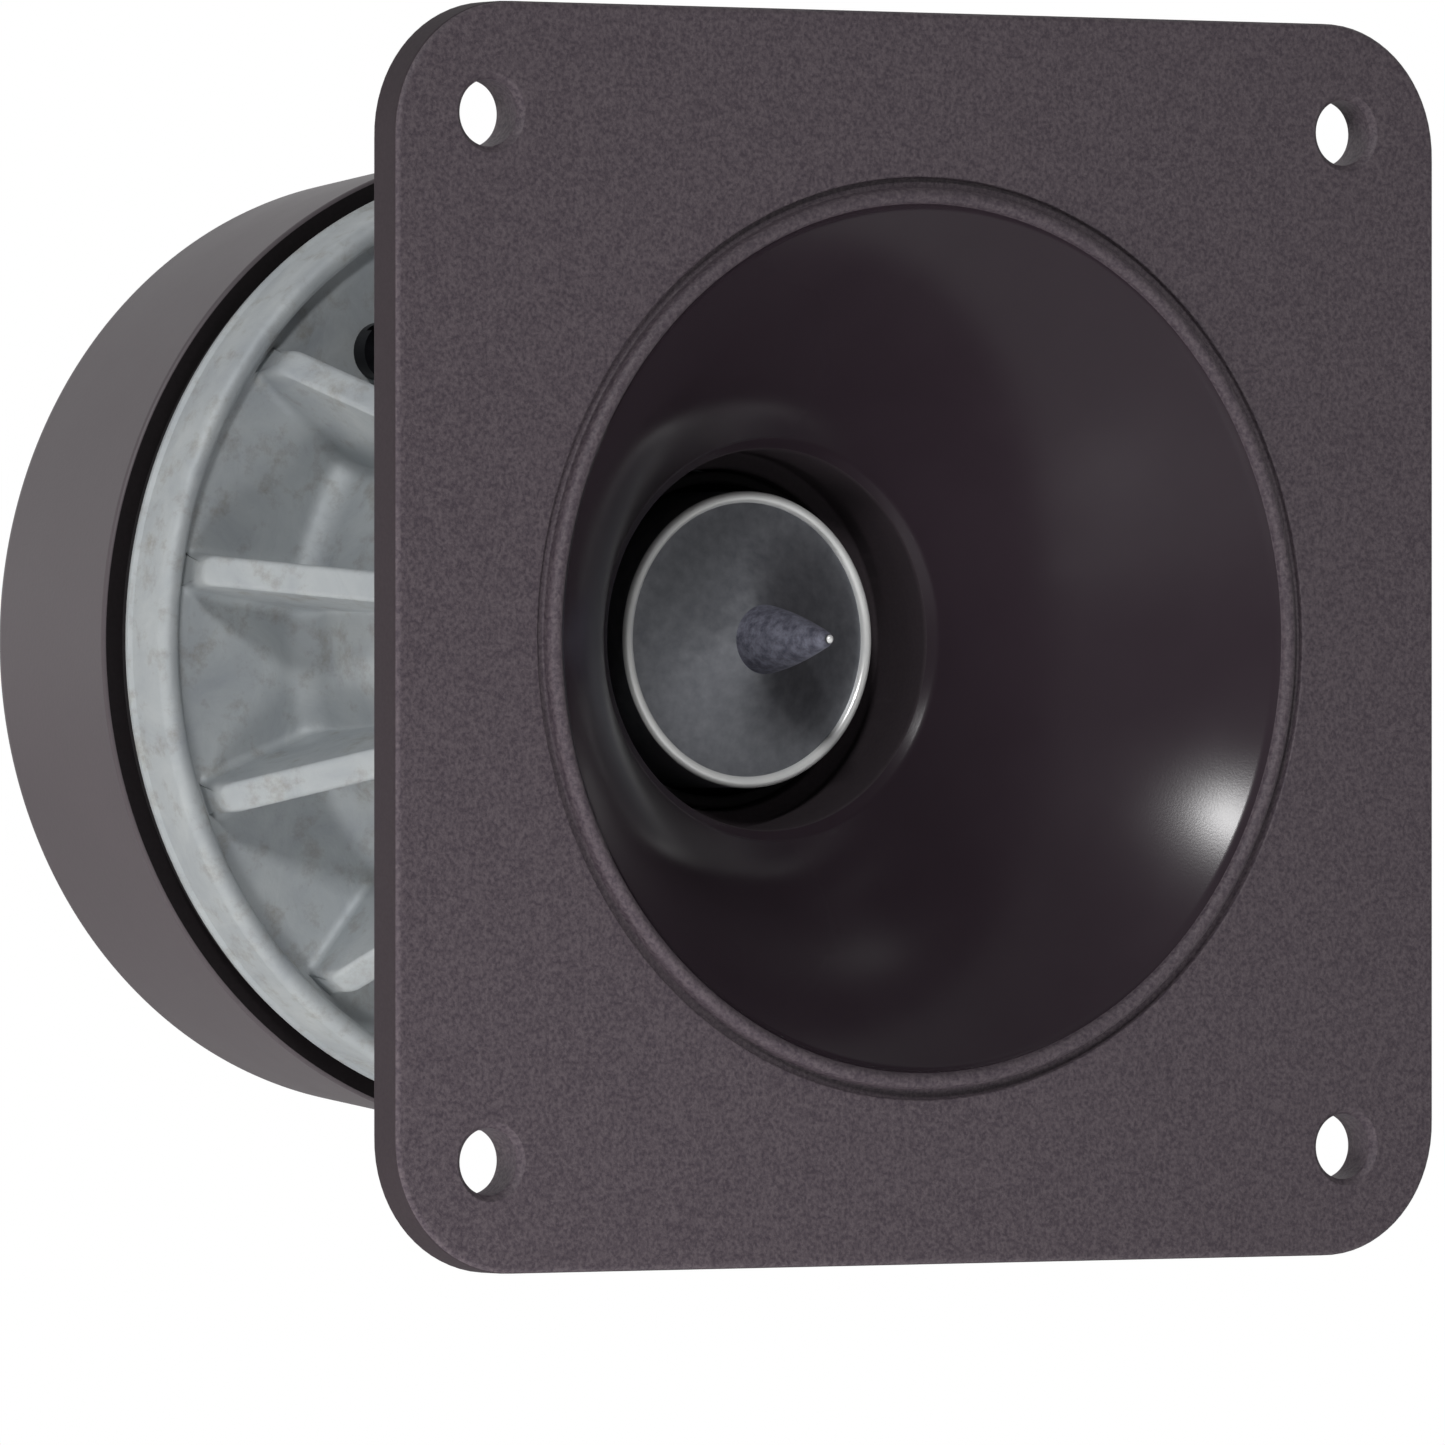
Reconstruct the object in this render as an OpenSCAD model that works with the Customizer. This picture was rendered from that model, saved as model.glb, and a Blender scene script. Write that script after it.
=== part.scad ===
// Horn-loaded compression tweeter with a square mounting flange.
//
// Millimetres. +Z is up, the horn faces -Y and +X is to the right seen from the front.
// The origin is on the horn axis, in the plane of the flange's rear face, which is the face
// that beds on the baffle. Every piece is drawn along its own +Z, as depth behind that face,
// and facing_front() turns it so that depth runs along +Y. Lengths that end in _d are such depths.

/* [Mounting flange] */
// Side of the square flange
flange_side = 85; // [70:0.5:120]
// Thickness of the flange
flange_t = 3; // [2.4:0.1:6]
// Radius of the flange corners
flange_corner_r = 9; // [3:0.5:14]
// Distance from a flange edge to the centre of a fixing hole
hole_inset = 7.5; // [6:0.1:9]
// Diameter of the fixing holes
hole_d = 4.5; // [4:0.1:6]
// Chamfer at the front of the fixing holes
hole_chamfer = 0.4; // [0.1:0.1:1]

/* [Horn moulding] */
// Radius of the mouth, where the flare meets the bead
mouth_r = 29.5; // [24:0.1:36]
// Depth of the flare from the flange's front face to the lip of the neck
flare_depth = 19.2; // [14:0.1:30]
// Growth of the radius for each millimetre of depth, at the mouth
mouth_slope = 1.25; // [1:0.05:1.5]
// Growth of the radius for each millimetre of depth, at the lip
lip_slope = 0.64; // [0.4:0.02:0.8]
// Radial gap between the phase plug's rim and the wall of the neck
neck_gap = 2.85; // [2.4:0.05:4.4]
// Radius that rounds the lip
lip_round = 0.6; // [0.3:0.1:1]
// Depth of the neck pocket, from the lip to its floor
neck_pocket = 6.4; // [3.5:0.1:12]
// Thickness of the neck's floor, which the horn screws bite into
neck_floor_t = 3.9; // [3.6:0.1:8]
// Wall thickness of the moulding
horn_wall = 2.2; // [1.4:0.1:3.5]
// Width of the round bead that rings the mouth
bead_w = 1.1; // [0.8:0.1:2]
// Width of the groove outside the bead
groove_w = 0.7; // [0.4:0.1:1.5]
// Depth of that groove
groove_t = 0.5; // [0.3:0.1:1.2]
// Number of gussets between the back of the flange and the flare
gusset_count = 8; // [4:1:12]
// Thickness of a gusset
gusset_t = 1.8; // [1:0.1:3]
// How far a gusset reaches out from the flare along the flange
gusset_reach = 3.4; // [2:0.1:4]
// How far a gusset runs back along the flare
gusset_h = 8; // [4:0.5:12]

/* [Cast housing] */
// Thickness of the gasket between the horn and the hub
horn_gasket_t = 0.5; // [0.3:0.1:1.5]
// Wall of the hub where it meets the web, from the ledge inside it
hub_base_wall = 2.6; // [2:0.1:3.5]
// How much smaller the hub is at its front, for draft
hub_draft = 2.1; // [0.5:0.1:2.4]
// Height of the hub above the web
hub_h = 16.6; // [12:0.1:24]
// Thickness of the hub's front wall
hub_front_t = 3; // [2:0.1:4]
// Wall of the hub's side
hub_wall = 1.8; // [1.4:0.1:2.4]
// Slope that fills the corner between the hub and the web
hub_fillet = 1.2; // [0.5:0.1:2]
// Thickness of the web
web_t = 3; // [2.8:0.1:6]
// How far the rim reaches beyond the top plate
rim_overhang = 1.6; // [0.5:0.1:3]
// Width of the rim
rim_w = 1.9; // [1.2:0.1:3]
// Height of the rim in front of the web
rim_h = 1.6; // [0.8:0.1:4]
// Number of cooling ribs
rib_count = 12; // [9:3:12]
// Clock angle of the first rib, anticlockwise from the right seen from the front
rib_start = 21; // [15:1:27]
// Thickness of a rib
rib_t = 2.3; // [1.4:0.1:2.8]
// Radial width of a rib's foot that stands on the hub's front edge
rib_shoulder = 1.9; // [0.5:0.1:3]
// Gap between a rib's outer end and the rim
rib_gap = 0.7; // [0.3:0.1:2]
// Height of a rib's outer end above the web
rib_end_h = 2.8; // [1:0.1:6]

/* [Throat] */
// How much the channel narrows from the diaphragm to the straight stretch
throat_taper = 2.2; // [1:0.05:2.6]
// Wall of the throat tube
tube_wall = 0.8; // [0.5:0.1:0.9]
// Distance from the floor of the neck back to the tube's front end
tube_inset = 0.3; // [0.1:0.1:1]
// Width of the ring-shaped channel between the tube and the phase plug
channel_w = 0.6; // [0.4:0.05:1]
// Length of the plug's straight stretch, from its rim
straight_l = 14; // [12:0.5:16]
// Thickness of the tube's rear flange, which clamps the diaphragm
tube_flange_t = 1.4; // [1:0.1:2]
// Radial width of the housing's ledge that the flange seats on
ledge_w = 2; // [1.5:0.1:2.4]
// Wall of the tube where its cone meets the flange
tube_back_wall = 3; // [2:0.1:3.4]
// Distance from the lip of the neck back to the plug's bright rim
rim_setback = 2.5; // [1:0.1:5]
// Width of the plug's round rim
plug_rim_w = 0.8; // [0.4:0.1:1.5]
// Distance from the rim back to the edge of the plug's cone
cone_drop = 0.4; // [0.4:0.1:1.5]
// Height of the plug's shallow cone
cone_h = 2.3; // [1:0.1:4]
// Radius of the spike's foot
spike_r = 2.4; // [1.5:0.1:3.5]
// Length of the spike
spike_l = 8.2; // [4:0.1:12]

/* [Diaphragm and voice coil] */
// Thickness drawn for the diaphragm and its surrounds
membrane_t = 0.3; // [0.2:0.05:0.4]
// Free space in front of the diaphragm at rest
compression_gap = 0.6; // [0.5:0.05:1]
// Thickness of the clamp ring and of the centre spacer
clamp_t = 1.7; // [1.4:0.1:3]
// Width of the diaphragm outside the former
disc_w = 2.5; // [1.5:0.1:4]
// Radial width of the clamp ring
clamp_w = 3.2; // [2.4:0.1:3.4]
// Radial width of the outer surround's roll
outer_roll_w = 1.5; // [1:0.1:1.8]
// Radial width of the inner surround's roll
inner_roll_w = 1.2; // [0.8:0.1:1.5]
// Radial width of the inner surround's clamped land
inner_land_w = 2.5; // [1.5:0.1:4]
// Width of the flat that the diaphragm keeps on each side of the former
coil_land_w = 0.4; // [0.2:0.1:0.8]
// How far the rolls and the diaphragm's corrugations bulge back
roll_h = 0.5; // [0.2:0.1:0.8]
// Thickness of the coil former
former_t = 0.15; // [0.1:0.05:0.3]
// Radial build of the winding
winding_t = 0.4; // [0.2:0.05:0.6]
// Length of the winding
winding_l = 3.8; // [2.5:0.1:6]
// Free space on each side of the coil in the magnet gap
coil_clearance = 0.3; // [0.25:0.05:0.5]
// Length of former behind the winding
former_tail = 0.4; // [0.2:0.1:1]

/* [Motor] */
// Thickness of the gasket between the housing and the motor
motor_gasket_t = 1; // [0.9:0.1:2]
// How far that gasket stays inside the rim
gasket_inset = 0.4; // [0.2:0.1:2]
// Radius of the pole piece
pole_r = 12.3; // [10:0.1:15]
// How far the top plate reaches beyond the circle of the assembly screws
plate_margin = 7; // [6.2:0.1:9]
// Thickness of the top plate
plate_t = 5; // [4.6:0.1:8]
// How far the magnet stays inside the top plate
magnet_inset = 1.9; // [1:0.1:4]
// How much larger the magnet's bore is than the top plate's
magnet_relief = 2.55; // [1:0.05:5]
// Thickness of the magnet
magnet_t = 7; // [5:0.1:12]
// How far the back plate stays inside the magnet
back_plate_inset = 0.5; // [0:0.1:2]
// Thickness of the back plate
back_plate_t = 4; // [3.4:0.1:6]
// Radius of the pole piece's spigot in the back plate
spigot_r = 9; // [6:0.1:9.8]

/* [Magnet cover] */
// Wall of the cover at its mouth
cover_wall = 2.7; // [2.5:0.1:3.5]
// Thickness of the cover's floor
cover_floor_t = 1.7; // [1.2:0.1:3]
// How much smaller the radius is at the back, for draft
cover_draft = 1.7; // [0:0.05:1.9]
// Radius that rounds the back edge
cover_round = 1.5; // [0.5:0.1:1.7]
// Gap between the top plate's front face and the cover's edge
cover_setback = 0.05; // [0:0.05:0.4]

/* [Fasteners] */
// Distance from the hub's fillet out to the circle of the assembly screws
assembly_offset = 3.1; // [3:0.1:4]
// Shank radius of the assembly screws
assembly_screw_r = 1.2; // [1.1:0.1:1.6]
// Shank length of the assembly screws
assembly_screw_l = 8; // [6:0.5:8.5]
// Distance from the hub's edge in to the circle of the horn screws
horn_screw_inset = 4.1; // [3.9:0.1:4.4]
// Shank radius of the horn screws
horn_screw_r = 1.1; // [0.9:0.1:1.3]
// Shank length of the horn screws
horn_screw_l = 6.5; // [5.5:0.1:7]
// Shank radius of the centre screw
centre_screw_r = 1.5; // [1.2:0.1:2]
// Length of thread that the centre screw has in the phase plug
centre_grip = 9; // [6:0.5:14]
// Shank radius of the terminal block's screw
block_screw_r = 1.1; // [0.8:0.05:1.2]
// Head radius of a screw for each millimetre of shank radius
head_ratio = 1.7; // [1.5:0.05:1.8]
// Head height of a screw for each millimetre of shank radius
head_height_ratio = 1.2; // [0.8:0.05:1.5]
// Width of a screw's slot for each millimetre of shank radius
slot_ratio = 0.5; // [0.3:0.05:0.7]
// Height of the centre screw's head
centre_head_h = 2.43; // [1.8:0.01:3]

/* [Terminals] */
// Gap between the terminal block and the ribs beside it
block_gap = 0.7; // [0.4:0.1:1.1]
// Length of the block along its radius
block_l = 4.8; // [4:0.1:5]
// Height of the block above the web
block_h = 5; // [4:0.1:7]
// Distance from the hub's fillet to the block's fixing foot
block_offset = 0.1; // [0.1:0.1:0.6]
// Length of the fixing foot
foot_l = 3.8; // [3.8:0.1:4.4]
// Thickness of the fixing foot
foot_t = 1.8; // [1.2:0.1:2.4]
// Width of the fixing foot
foot_w = 5.2; // [4.6:0.1:5.4]
// How far the boss through the web stays inside the block, on each side
boss_inset = 0.7; // [0.5:0.1:0.9]
// Length of that boss along the radius
boss_l = 2.8; // [2.6:0.1:3.2]
// Distance from the block's inner edge to the blades' legs
leg_inset = 1.4; // [1.2:0.1:1.6]
// Distance from the block's front down to the blades
blade_drop = 1; // [0.5:0.1:1.5]
// Width of a terminal blade
blade_w = 2.8; // [2.4:0.1:3.2]
// Thickness of a terminal blade
blade_t = 0.8; // [0.5:0.1:1]
// Length of blade that stands out of the block
blade_l = 6.6; // [5:0.1:8]
// Distance between the centres of the two blades
blade_pitch = 5.4; // [5:0.1:5.8]
// Diameter of the hole in a blade
blade_hole_d = 1.12; // [0.8:0.02:1.4]
// Width of the blade's leg and of the lead strip
leg_w = 1.6; // [1.2:0.1:2]
// Thickness of a lead strip
lead_t = 0.3; // [0.2:0.05:0.4]
// Depth of the leads' back face behind the housing's back
lead_sink = 0.4; // [0.35:0.05:0.6]
// How far a lead reaches into its notch, short of the clamp ring's inner edge
lead_stop = 0.6; // [0.3:0.1:1.5]

/* [Clearances] */
// Radial clearance of a turned fit or a seat
seat_gap = 0.05; // [0.02:0.01:0.1]
// Radial clearance where a part only passes through
pass_gap = 0.2; // [0.1:0.05:0.4]
// Gap drawn round a pressed or threaded fit
grip_gap = 0.02; // [0.01:0.01:0.04]

/* [Hidden] */
$fn = 96;
eps = 0.5;

// Depths of the stack, from the flange's front face to the back of the cover.
face_d = -flange_t;
lip_d = face_d + flare_depth;
neck_floor_d = lip_d + neck_pocket;
horn_back_d = neck_floor_d + neck_floor_t;
hub_d = horn_back_d + horn_gasket_t;
web_d = hub_d + hub_h;
rim_d = web_d - rim_h;
housing_back_d = web_d + web_t;
plate_d = housing_back_d + motor_gasket_t;
magnet_d = plate_d + plate_t;
back_plate_d = magnet_d + magnet_t;
motor_back_d = back_plate_d + back_plate_t;
cover_back_d = motor_back_d + cover_floor_t;
cover_front_d = plate_d + cover_setback;

// Depths of the throat and of the diaphragm's clamp, counted from the top plate.
clamp_d = plate_d - clamp_t;
membrane_d = clamp_d - membrane_t;
ledge_d = membrane_d - tube_flange_t;
phase_d = membrane_d - compression_gap;
plug_rim_d = lip_d + rim_setback;
tube_d = neck_floor_d + tube_inset;
tube_flare_d = plug_rim_d + straight_l;
cone_edge_d = plug_rim_d + cone_drop;
spike_d = cone_edge_d - cone_h;
tip_d = spike_d - spike_l;

// Radii of the magnet gap, from the pole piece outwards.
former_r = pole_r + coil_clearance;
winding_r = former_r + former_t;
coil_r = winding_r + winding_t;
gap_r = coil_r + coil_clearance;

// Radii of the throat and of the diaphragm. The channel opens at the coil's radius.
plug_back_r = winding_r - channel_w / 2;
tube_back_r = winding_r + channel_w / 2;
plug_r = plug_back_r - throat_taper;
tube_bore_r = tube_back_r - throat_taper;
tube_r = tube_bore_r + tube_wall;
cone_r = plug_r - plug_rim_w;
tube_shoulder_r = tube_back_r + tube_back_wall;
disc_out_r = winding_r + disc_w;
outer_roll_r = disc_out_r + outer_roll_w;
clamp_in_r = outer_roll_r + seat_gap;
clamp_r = clamp_in_r + clamp_w;
disc_in_r = 2 * winding_r - disc_out_r;
inner_roll_r = disc_in_r - inner_roll_w;
spacer_r = inner_roll_r - seat_gap;
spacer_boss_r = spacer_r - inner_land_w;

// Radii of the horn and of the housing.
bead_r = mouth_r + bead_w / 2;
groove_in_r = mouth_r + bead_w;
neck_r = plug_r + neck_gap;
neck_out_r = neck_r + horn_wall;
cavity_back_r = clamp_r - ledge_w;
hub_base_r = cavity_back_r + hub_base_wall;
hub_r = hub_base_r - hub_draft;
cavity_r = hub_r - hub_wall + hub_draft * hub_front_t / hub_h;
horn_pitch_r = hub_r - horn_screw_inset;
assembly_pitch_r = hub_base_r + hub_fillet + assembly_offset;
plate_r = assembly_pitch_r + plate_margin;
magnet_r = plate_r - magnet_inset;
magnet_bore_r = gap_r + magnet_relief;
rim_r = plate_r + rim_overhang;
rim_in_r = rim_r - rim_w;
rib_out_r = rim_in_r - rib_gap;
hole_at = flange_side / 2 - hole_inset;

// Screws: heads stand on the web, inside the hub and in the pole piece.
rib_pitch = 360 / rib_count;
assembly_angles = [for (i = [0:2]) rib_start - rib_pitch / 2 + 120 * i];
horn_angles = [for (i = [0:2]) rib_start + rib_pitch / 2 + 120 * i];
centre_head_d = motor_back_d - centre_head_h - pass_gap;
centre_tip_d = membrane_d - centre_grip;
thread_end = 1;

// Terminal bay: the gap between two ribs, low on the right.
bay_angle = rib_start - 1.5 * rib_pitch;
foot_u = hub_base_r + hub_fillet + block_offset;
block_u = foot_u + foot_l;
leg_u = block_u + leg_inset;
boss_u = block_u + boss_inset;
block_w = 2 * (block_u * sin(rib_pitch / 2) - rib_t / 2 - block_gap);
boss_w = block_w - 2 * boss_inset;
block_d = web_d - block_h;
blade_d = block_d + blade_drop;
blade_tip_u = block_u + block_l + blade_l;
screw_u = foot_u + foot_l / 2;
lead_back_d = housing_back_d + lead_sink;
lead_d = lead_back_d - lead_t;
notch_w = leg_w + 2 * pass_gap;
lead_in_u = clamp_in_r + lead_stop;

// ---- Placing helpers ----

// Turns depth, drawn along +Z, into +Y.
module facing_front() {
    rotate([-90, 0, 0]) children();
}

// Places children drawn along +X at a clock angle, anticlockwise seen from the front.
module at_clock(angle) {
    rotate([0, 0, -angle]) children();
}

// ---- Outlines ----

// Points of a circular arc about c.
function arc(c, r, a0, a1, n = 12) =
    [for (i = [0:n]) let (a = a0 + (a1 - a0) * i / n) c + r * [cos(a), sin(a)]];

// Outline of a square with round corners.
function rounded_square(side, r) =
    let (m = side / 2 - r)
    [for (q = [0:3]) each arc([[1, 1], [-1, 1], [-1, -1], [1, -1]][q] * m, r, 90 * q, 90 * q + 90)];

// Curve of the flare from mouth to lip, pushed outwards by a wall. The radius is a cubic in
// depth that has the stated slope at both ends.
function flare(wall, n = 28) =
    let (r0 = mouth_r + wall, r1 = neck_r + lip_round + wall)
    [for (i = [0:n])
        let (t = i / n)
        let (h0 = 2 * pow(t, 3) - 3 * pow(t, 2) + 1, h1 = pow(t, 3) - 2 * pow(t, 2) + t)
        let (h2 = pow(t, 3) - pow(t, 2))
        [h0 * r0 + (1 - h0) * r1 - flare_depth * (h1 * mouth_slope + h2 * lip_slope),
            face_d + flare_depth * t]];

// Front of a strip of membrane between two radii, whose middle bulges back.
function roll(r0, r1, n = 20) =
    [for (i = [0:n]) [r0 + (r1 - r0) * i / n, membrane_d + roll_h * (1 - cos(360 * i / n)) / 2]];

// Closed outline of a membrane from its front.
function membrane(front) =
    concat(front, [for (i = [len(front) - 1:-1:0]) front[i] + [0, membrane_t]]);

// Solid of revolution from an outline of [radius, depth] points.
module turned(points) {
    rotate_extrude() polygon(points);
}

// Ring between two radii and two depths.
module ring(r_in, r_out, d0, d1) {
    turned([[r_in, d0], [r_out, d0], [r_out, d1], [r_in, d1]]);
}

// Straight hole or pin along the depth, between two depths.
module rod(r, d0, d1) {
    translate([0, 0, d0]) cylinder(r = r, h = d1 - d0);
}

// Block in bay coordinates: u along the radius, v across it, d in depth.
module bay_box(u0, u1, v0, v1, d0, d1) {
    translate([u0, v0, d0]) cube([u1 - u0, v1 - v0, d1 - d0]);
}

// Cheese-head screw along the depth. Its head sits at d, and dir is 1 when the shank runs back.
module screw(r, length, d, dir) {
    head_h = r * head_height_ratio;
    translate([0, 0, d]) mirror([0, 0, dir > 0 ? 0 : 1]) {
        difference() {
            translate([0, 0, -head_h]) cylinder(r = r * head_ratio, h = head_h);
            translate([-r * head_ratio, -r * slot_ratio / 2, -head_h - eps])
                cube([2 * r * head_ratio, r * slot_ratio, eps + head_h / 2]);
        }
        cylinder(r = r, h = length);
    }
}

// ---- Horn ----

// Square flange, flare, neck and gussets in one moulding.
module horn() {
    color("#4b4246") facing_front() difference() {
        union() {
            translate([0, 0, face_d]) linear_extrude(flange_t)
                polygon(rounded_square(flange_side, flange_corner_r));
            horn_body();
            horn_bead();
            horn_gussets();
        }
        horn_cavity();
        ring(groove_in_r, groove_in_r + groove_w, face_d - eps, face_d + groove_t);
        for (x = [-1, 1], y = [-1, 1])
            translate([x * hole_at, y * hole_at, 0]) fixing_hole();
        for (a = horn_angles)
            at_clock(a) translate([horn_pitch_r, 0, 0])
                rod(horn_screw_r + grip_gap, hub_d + hub_front_t - horn_screw_l - grip_gap, hub_d);
    }
}

// Through hole with a chamfer at the front.
module fixing_hole() {
    turned([[0, face_d - eps], [hole_d / 2 + hole_chamfer + eps, face_d - eps],
        [hole_d / 2, face_d + hole_chamfer], [hole_d / 2, eps], [0, eps]]);
}

// Outside of the flare and the collar that beds on the hub.
module horn_body() {
    outside = [for (p = flare(horn_wall)) if (p[1] > 0) p];
    turned(concat([[0, -eps], [outside[0][0] + groove_w, -eps]], outside,
        [[neck_out_r, lip_d + lip_round], [neck_out_r, neck_floor_d - horn_wall],
            [hub_r, neck_floor_d], [hub_r, horn_back_d], [0, horn_back_d]]));
}

// Half-round bead on the flange's front face.
module horn_bead() {
    turned(concat(arc([bead_r, face_d], bead_w / 2, 180, 360),
        [[groove_in_r, face_d + horn_wall], [mouth_r, face_d + horn_wall]]));
}

// Triangular gussets behind the flange.
module horn_gussets() {
    foot = mouth_r + horn_wall;
    root = foot - gusset_h * mouth_slope;
    for (i = [0:gusset_count - 1])
        at_clock(360 / gusset_count * (i + 0.5)) translate([0, gusset_t / 2, 0]) rotate([90, 0, 0])
            linear_extrude(gusset_t)
                polygon([[foot - gusset_h, -eps], [foot + gusset_reach, -eps], [foot + gusset_reach, 0],
                    [root, gusset_h], [root - horn_wall, gusset_h]]);
}

// Hollow of the horn: mouth, flare, round lip, neck pocket and the tube's passage.
module horn_cavity() {
    lip = arc([neck_r + lip_round, lip_d + lip_round], lip_round, 215, 180, 4);
    turned(concat([[0, face_d - bead_w], [mouth_r, face_d - bead_w]], flare(0), lip,
        [[neck_r, neck_floor_d], [tube_r + pass_gap, neck_floor_d],
            [tube_r + pass_gap, horn_back_d + eps], [0, horn_back_d + eps]]));
}

// Soft washer between the horn's collar and the hub.
module horn_gasket() {
    color("#1d1c1e") facing_front() difference() {
        ring(tube_r + pass_gap, hub_r, horn_back_d, hub_d);
        for (a = horn_angles)
            at_clock(a) translate([horn_pitch_r, 0, 0])
                rod(horn_screw_r + pass_gap, horn_back_d - eps, hub_d + eps);
    }
}

// Screws from inside the hub into the neck's floor.
module horn_screws() {
    color("#2b2b2e") facing_front() for (a = horn_angles)
        at_clock(a) translate([horn_pitch_r, 0, 0])
            screw(horn_screw_r, horn_screw_l, hub_d + hub_front_t, -1);
}

// ---- Housing ----

// Die-cast housing: hollow hub, ribs, web and rim.
module front_housing() {
    color("#8e9698") facing_front() difference() {
        union() {
            turned([[0, hub_d], [hub_r, hub_d], [hub_base_r, web_d - hub_fillet],
                [hub_base_r + hub_fillet, web_d], [rim_in_r, web_d], [rim_in_r, rim_d + rim_w / 2],
                each arc([rim_r - rim_w / 2, rim_d + rim_w / 2], rim_w / 2, 180, 360),
                [rim_r, housing_back_d], [0, housing_back_d]]);
            housing_ribs();
        }
        turned([[0, hub_d + hub_front_t], [cavity_r, hub_d + hub_front_t], [cavity_back_r, ledge_d],
            [clamp_r + seat_gap, ledge_d], [clamp_r + seat_gap, housing_back_d + eps],
            [0, housing_back_d + eps]]);
        rod(tube_r + seat_gap, hub_d - eps, hub_d + hub_front_t + eps);
        for (a = horn_angles)
            at_clock(a) translate([horn_pitch_r, 0, 0])
                rod(horn_screw_r + pass_gap, hub_d - eps, hub_d + hub_front_t + eps);
        for (a = assembly_angles)
            at_clock(a) translate([assembly_pitch_r, 0, 0])
                rod(assembly_screw_r + pass_gap, web_d - eps, housing_back_d + eps);
        at_clock(bay_angle) {
            bay_box(boss_u, boss_u + boss_l, -boss_w / 2, boss_w / 2,
                web_d - eps, housing_back_d + eps);
            translate([screw_u, 0, 0]) rod(block_screw_r + grip_gap, web_d - eps, housing_back_d + eps);
        }
    }
}

// Ribs that slope from the hub's front edge down towards the rim.
module housing_ribs() {
    rib_in_r = hub_r + rib_shoulder;
    for (i = [0:rib_count - 1])
        at_clock(rib_start + 360 / rib_count * i) translate([0, rib_t / 2, 0]) rotate([90, 0, 0])
            linear_extrude(rib_t)
                polygon([[cavity_r, hub_d], [rib_in_r, hub_d], [rib_out_r, web_d - rib_end_h],
                    [rib_out_r, web_d + eps], [cavity_r, web_d + eps]]);
}

// ---- Throat ----

// Turned tube from the floor of the neck back to the flange that clamps the diaphragm.
module throat_tube() {
    color("#c9cdcb") facing_front() turned([
        [tube_bore_r, tube_flare_d + 1], [tube_bore_r, tube_d + tube_wall / 2],
        each arc([tube_r - tube_wall / 2, tube_d + tube_wall / 2], tube_wall / 2, 180, 360),
        [tube_r, tube_flare_d], [tube_shoulder_r, ledge_d], [clamp_r, ledge_d], [clamp_r, membrane_d],
        [clamp_in_r, membrane_d], [clamp_in_r, phase_d], [tube_back_r, phase_d]]);
}

// Bullet with a slender spike, a shallow concave cone, a round rim and a flared back.
module phase_plug() {
    // The cone is hollow towards the front: it sinks below the straight line to the spike's foot.
    cone = [for (i = [0:10]) let (t = i / 10)
        [spike_r + (cone_r - spike_r) * t, spike_d + cone_h * (1 - pow(1 - t, 1.6))]];
    // The spike swells a little along its length, like a bullet.
    spike = [for (i = [0:12]) let (t = i / 12)
        [spike_r * (0.75 * t + 0.25 * sin(90 * t)), tip_d + spike_l * t]];
    color("#aeb4b2") facing_front() difference() {
        turned(concat(spike, [for (i = [1:10]) cone[i]],
            arc([plug_r - plug_rim_w / 2, plug_rim_d + plug_rim_w / 2], plug_rim_w / 2, 180, 360),
            [[plug_r, tube_flare_d + 1], [plug_back_r, phase_d], [spacer_r, phase_d],
                [spacer_r, membrane_d], [0, membrane_d]]));
        rod(centre_screw_r + grip_gap, centre_tip_d - thread_end, membrane_d + eps);
    }
}

// Screw from the back of the pole piece into the plug.
module centre_screw() {
    color("#a9acb0") facing_front() {
        rod(centre_screw_r, centre_tip_d, centre_head_d);
        rod(centre_screw_r * head_ratio, centre_head_d, centre_head_d + centre_head_h);
    }
}

// Washer that clamps the inner surround and sets its distance from the pole piece.
module centre_spacer() {
    color("#b9a36b") facing_front() difference() {
        union() {
            rod(spacer_r, clamp_d, plate_d);
            rod(spacer_boss_r, membrane_d, plate_d);
        }
        rod(centre_screw_r + pass_gap, membrane_d - eps, plate_d + eps);
    }
}

// Ring that clamps the outer surround, notched for the two leads.
module clamp_ring() {
    color("#9aa0a2") facing_front() difference() {
        ring(clamp_in_r, clamp_r, clamp_d, plate_d);
        at_clock(bay_angle) for (side = [-1, 1])
            bay_box(clamp_in_r - 2, clamp_r + eps, side * blade_pitch / 2 - notch_w / 2,
                side * blade_pitch / 2 + notch_w / 2, lead_d - pass_gap, plate_d + eps);
    }
}

// ---- Diaphragm and coil ----

// Flexible outer ring: a roll inside a clamped land.
module outer_surround() {
    color("#6d5b3a") facing_front() {
        turned(membrane(roll(disc_out_r, outer_roll_r)));
        ring(outer_roll_r, clamp_r, membrane_d, clamp_d);
    }
}

// Moving ring with a corrugation on each side of the flat that carries the former.
module diaphragm() {
    color("#b08d4c") facing_front() turned(membrane(concat(
        roll(disc_in_r, former_r - coil_land_w), roll(winding_r + coil_land_w, disc_out_r))));
}

// Flexible inner ring: a roll outside a clamped land.
module inner_surround() {
    color("#6d5b3a") facing_front() {
        turned(membrane(roll(inner_roll_r, disc_in_r)));
        ring(spacer_boss_r + seat_gap, inner_roll_r, membrane_d, clamp_d);
    }
}

// Thin tube that carries the winding.
module coil_former() {
    color("#c8a24a") facing_front()
        ring(former_r, winding_r, clamp_d, plate_d + plate_t / 2 + winding_l / 2 + former_tail);
}

// Winding, centred in the top plate's thickness.
module voice_coil() {
    color("#b5652f") facing_front()
        ring(winding_r, coil_r, plate_d + plate_t / 2 - winding_l / 2, plate_d + plate_t / 2 + winding_l / 2);
}

// ---- Motor ----

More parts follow.
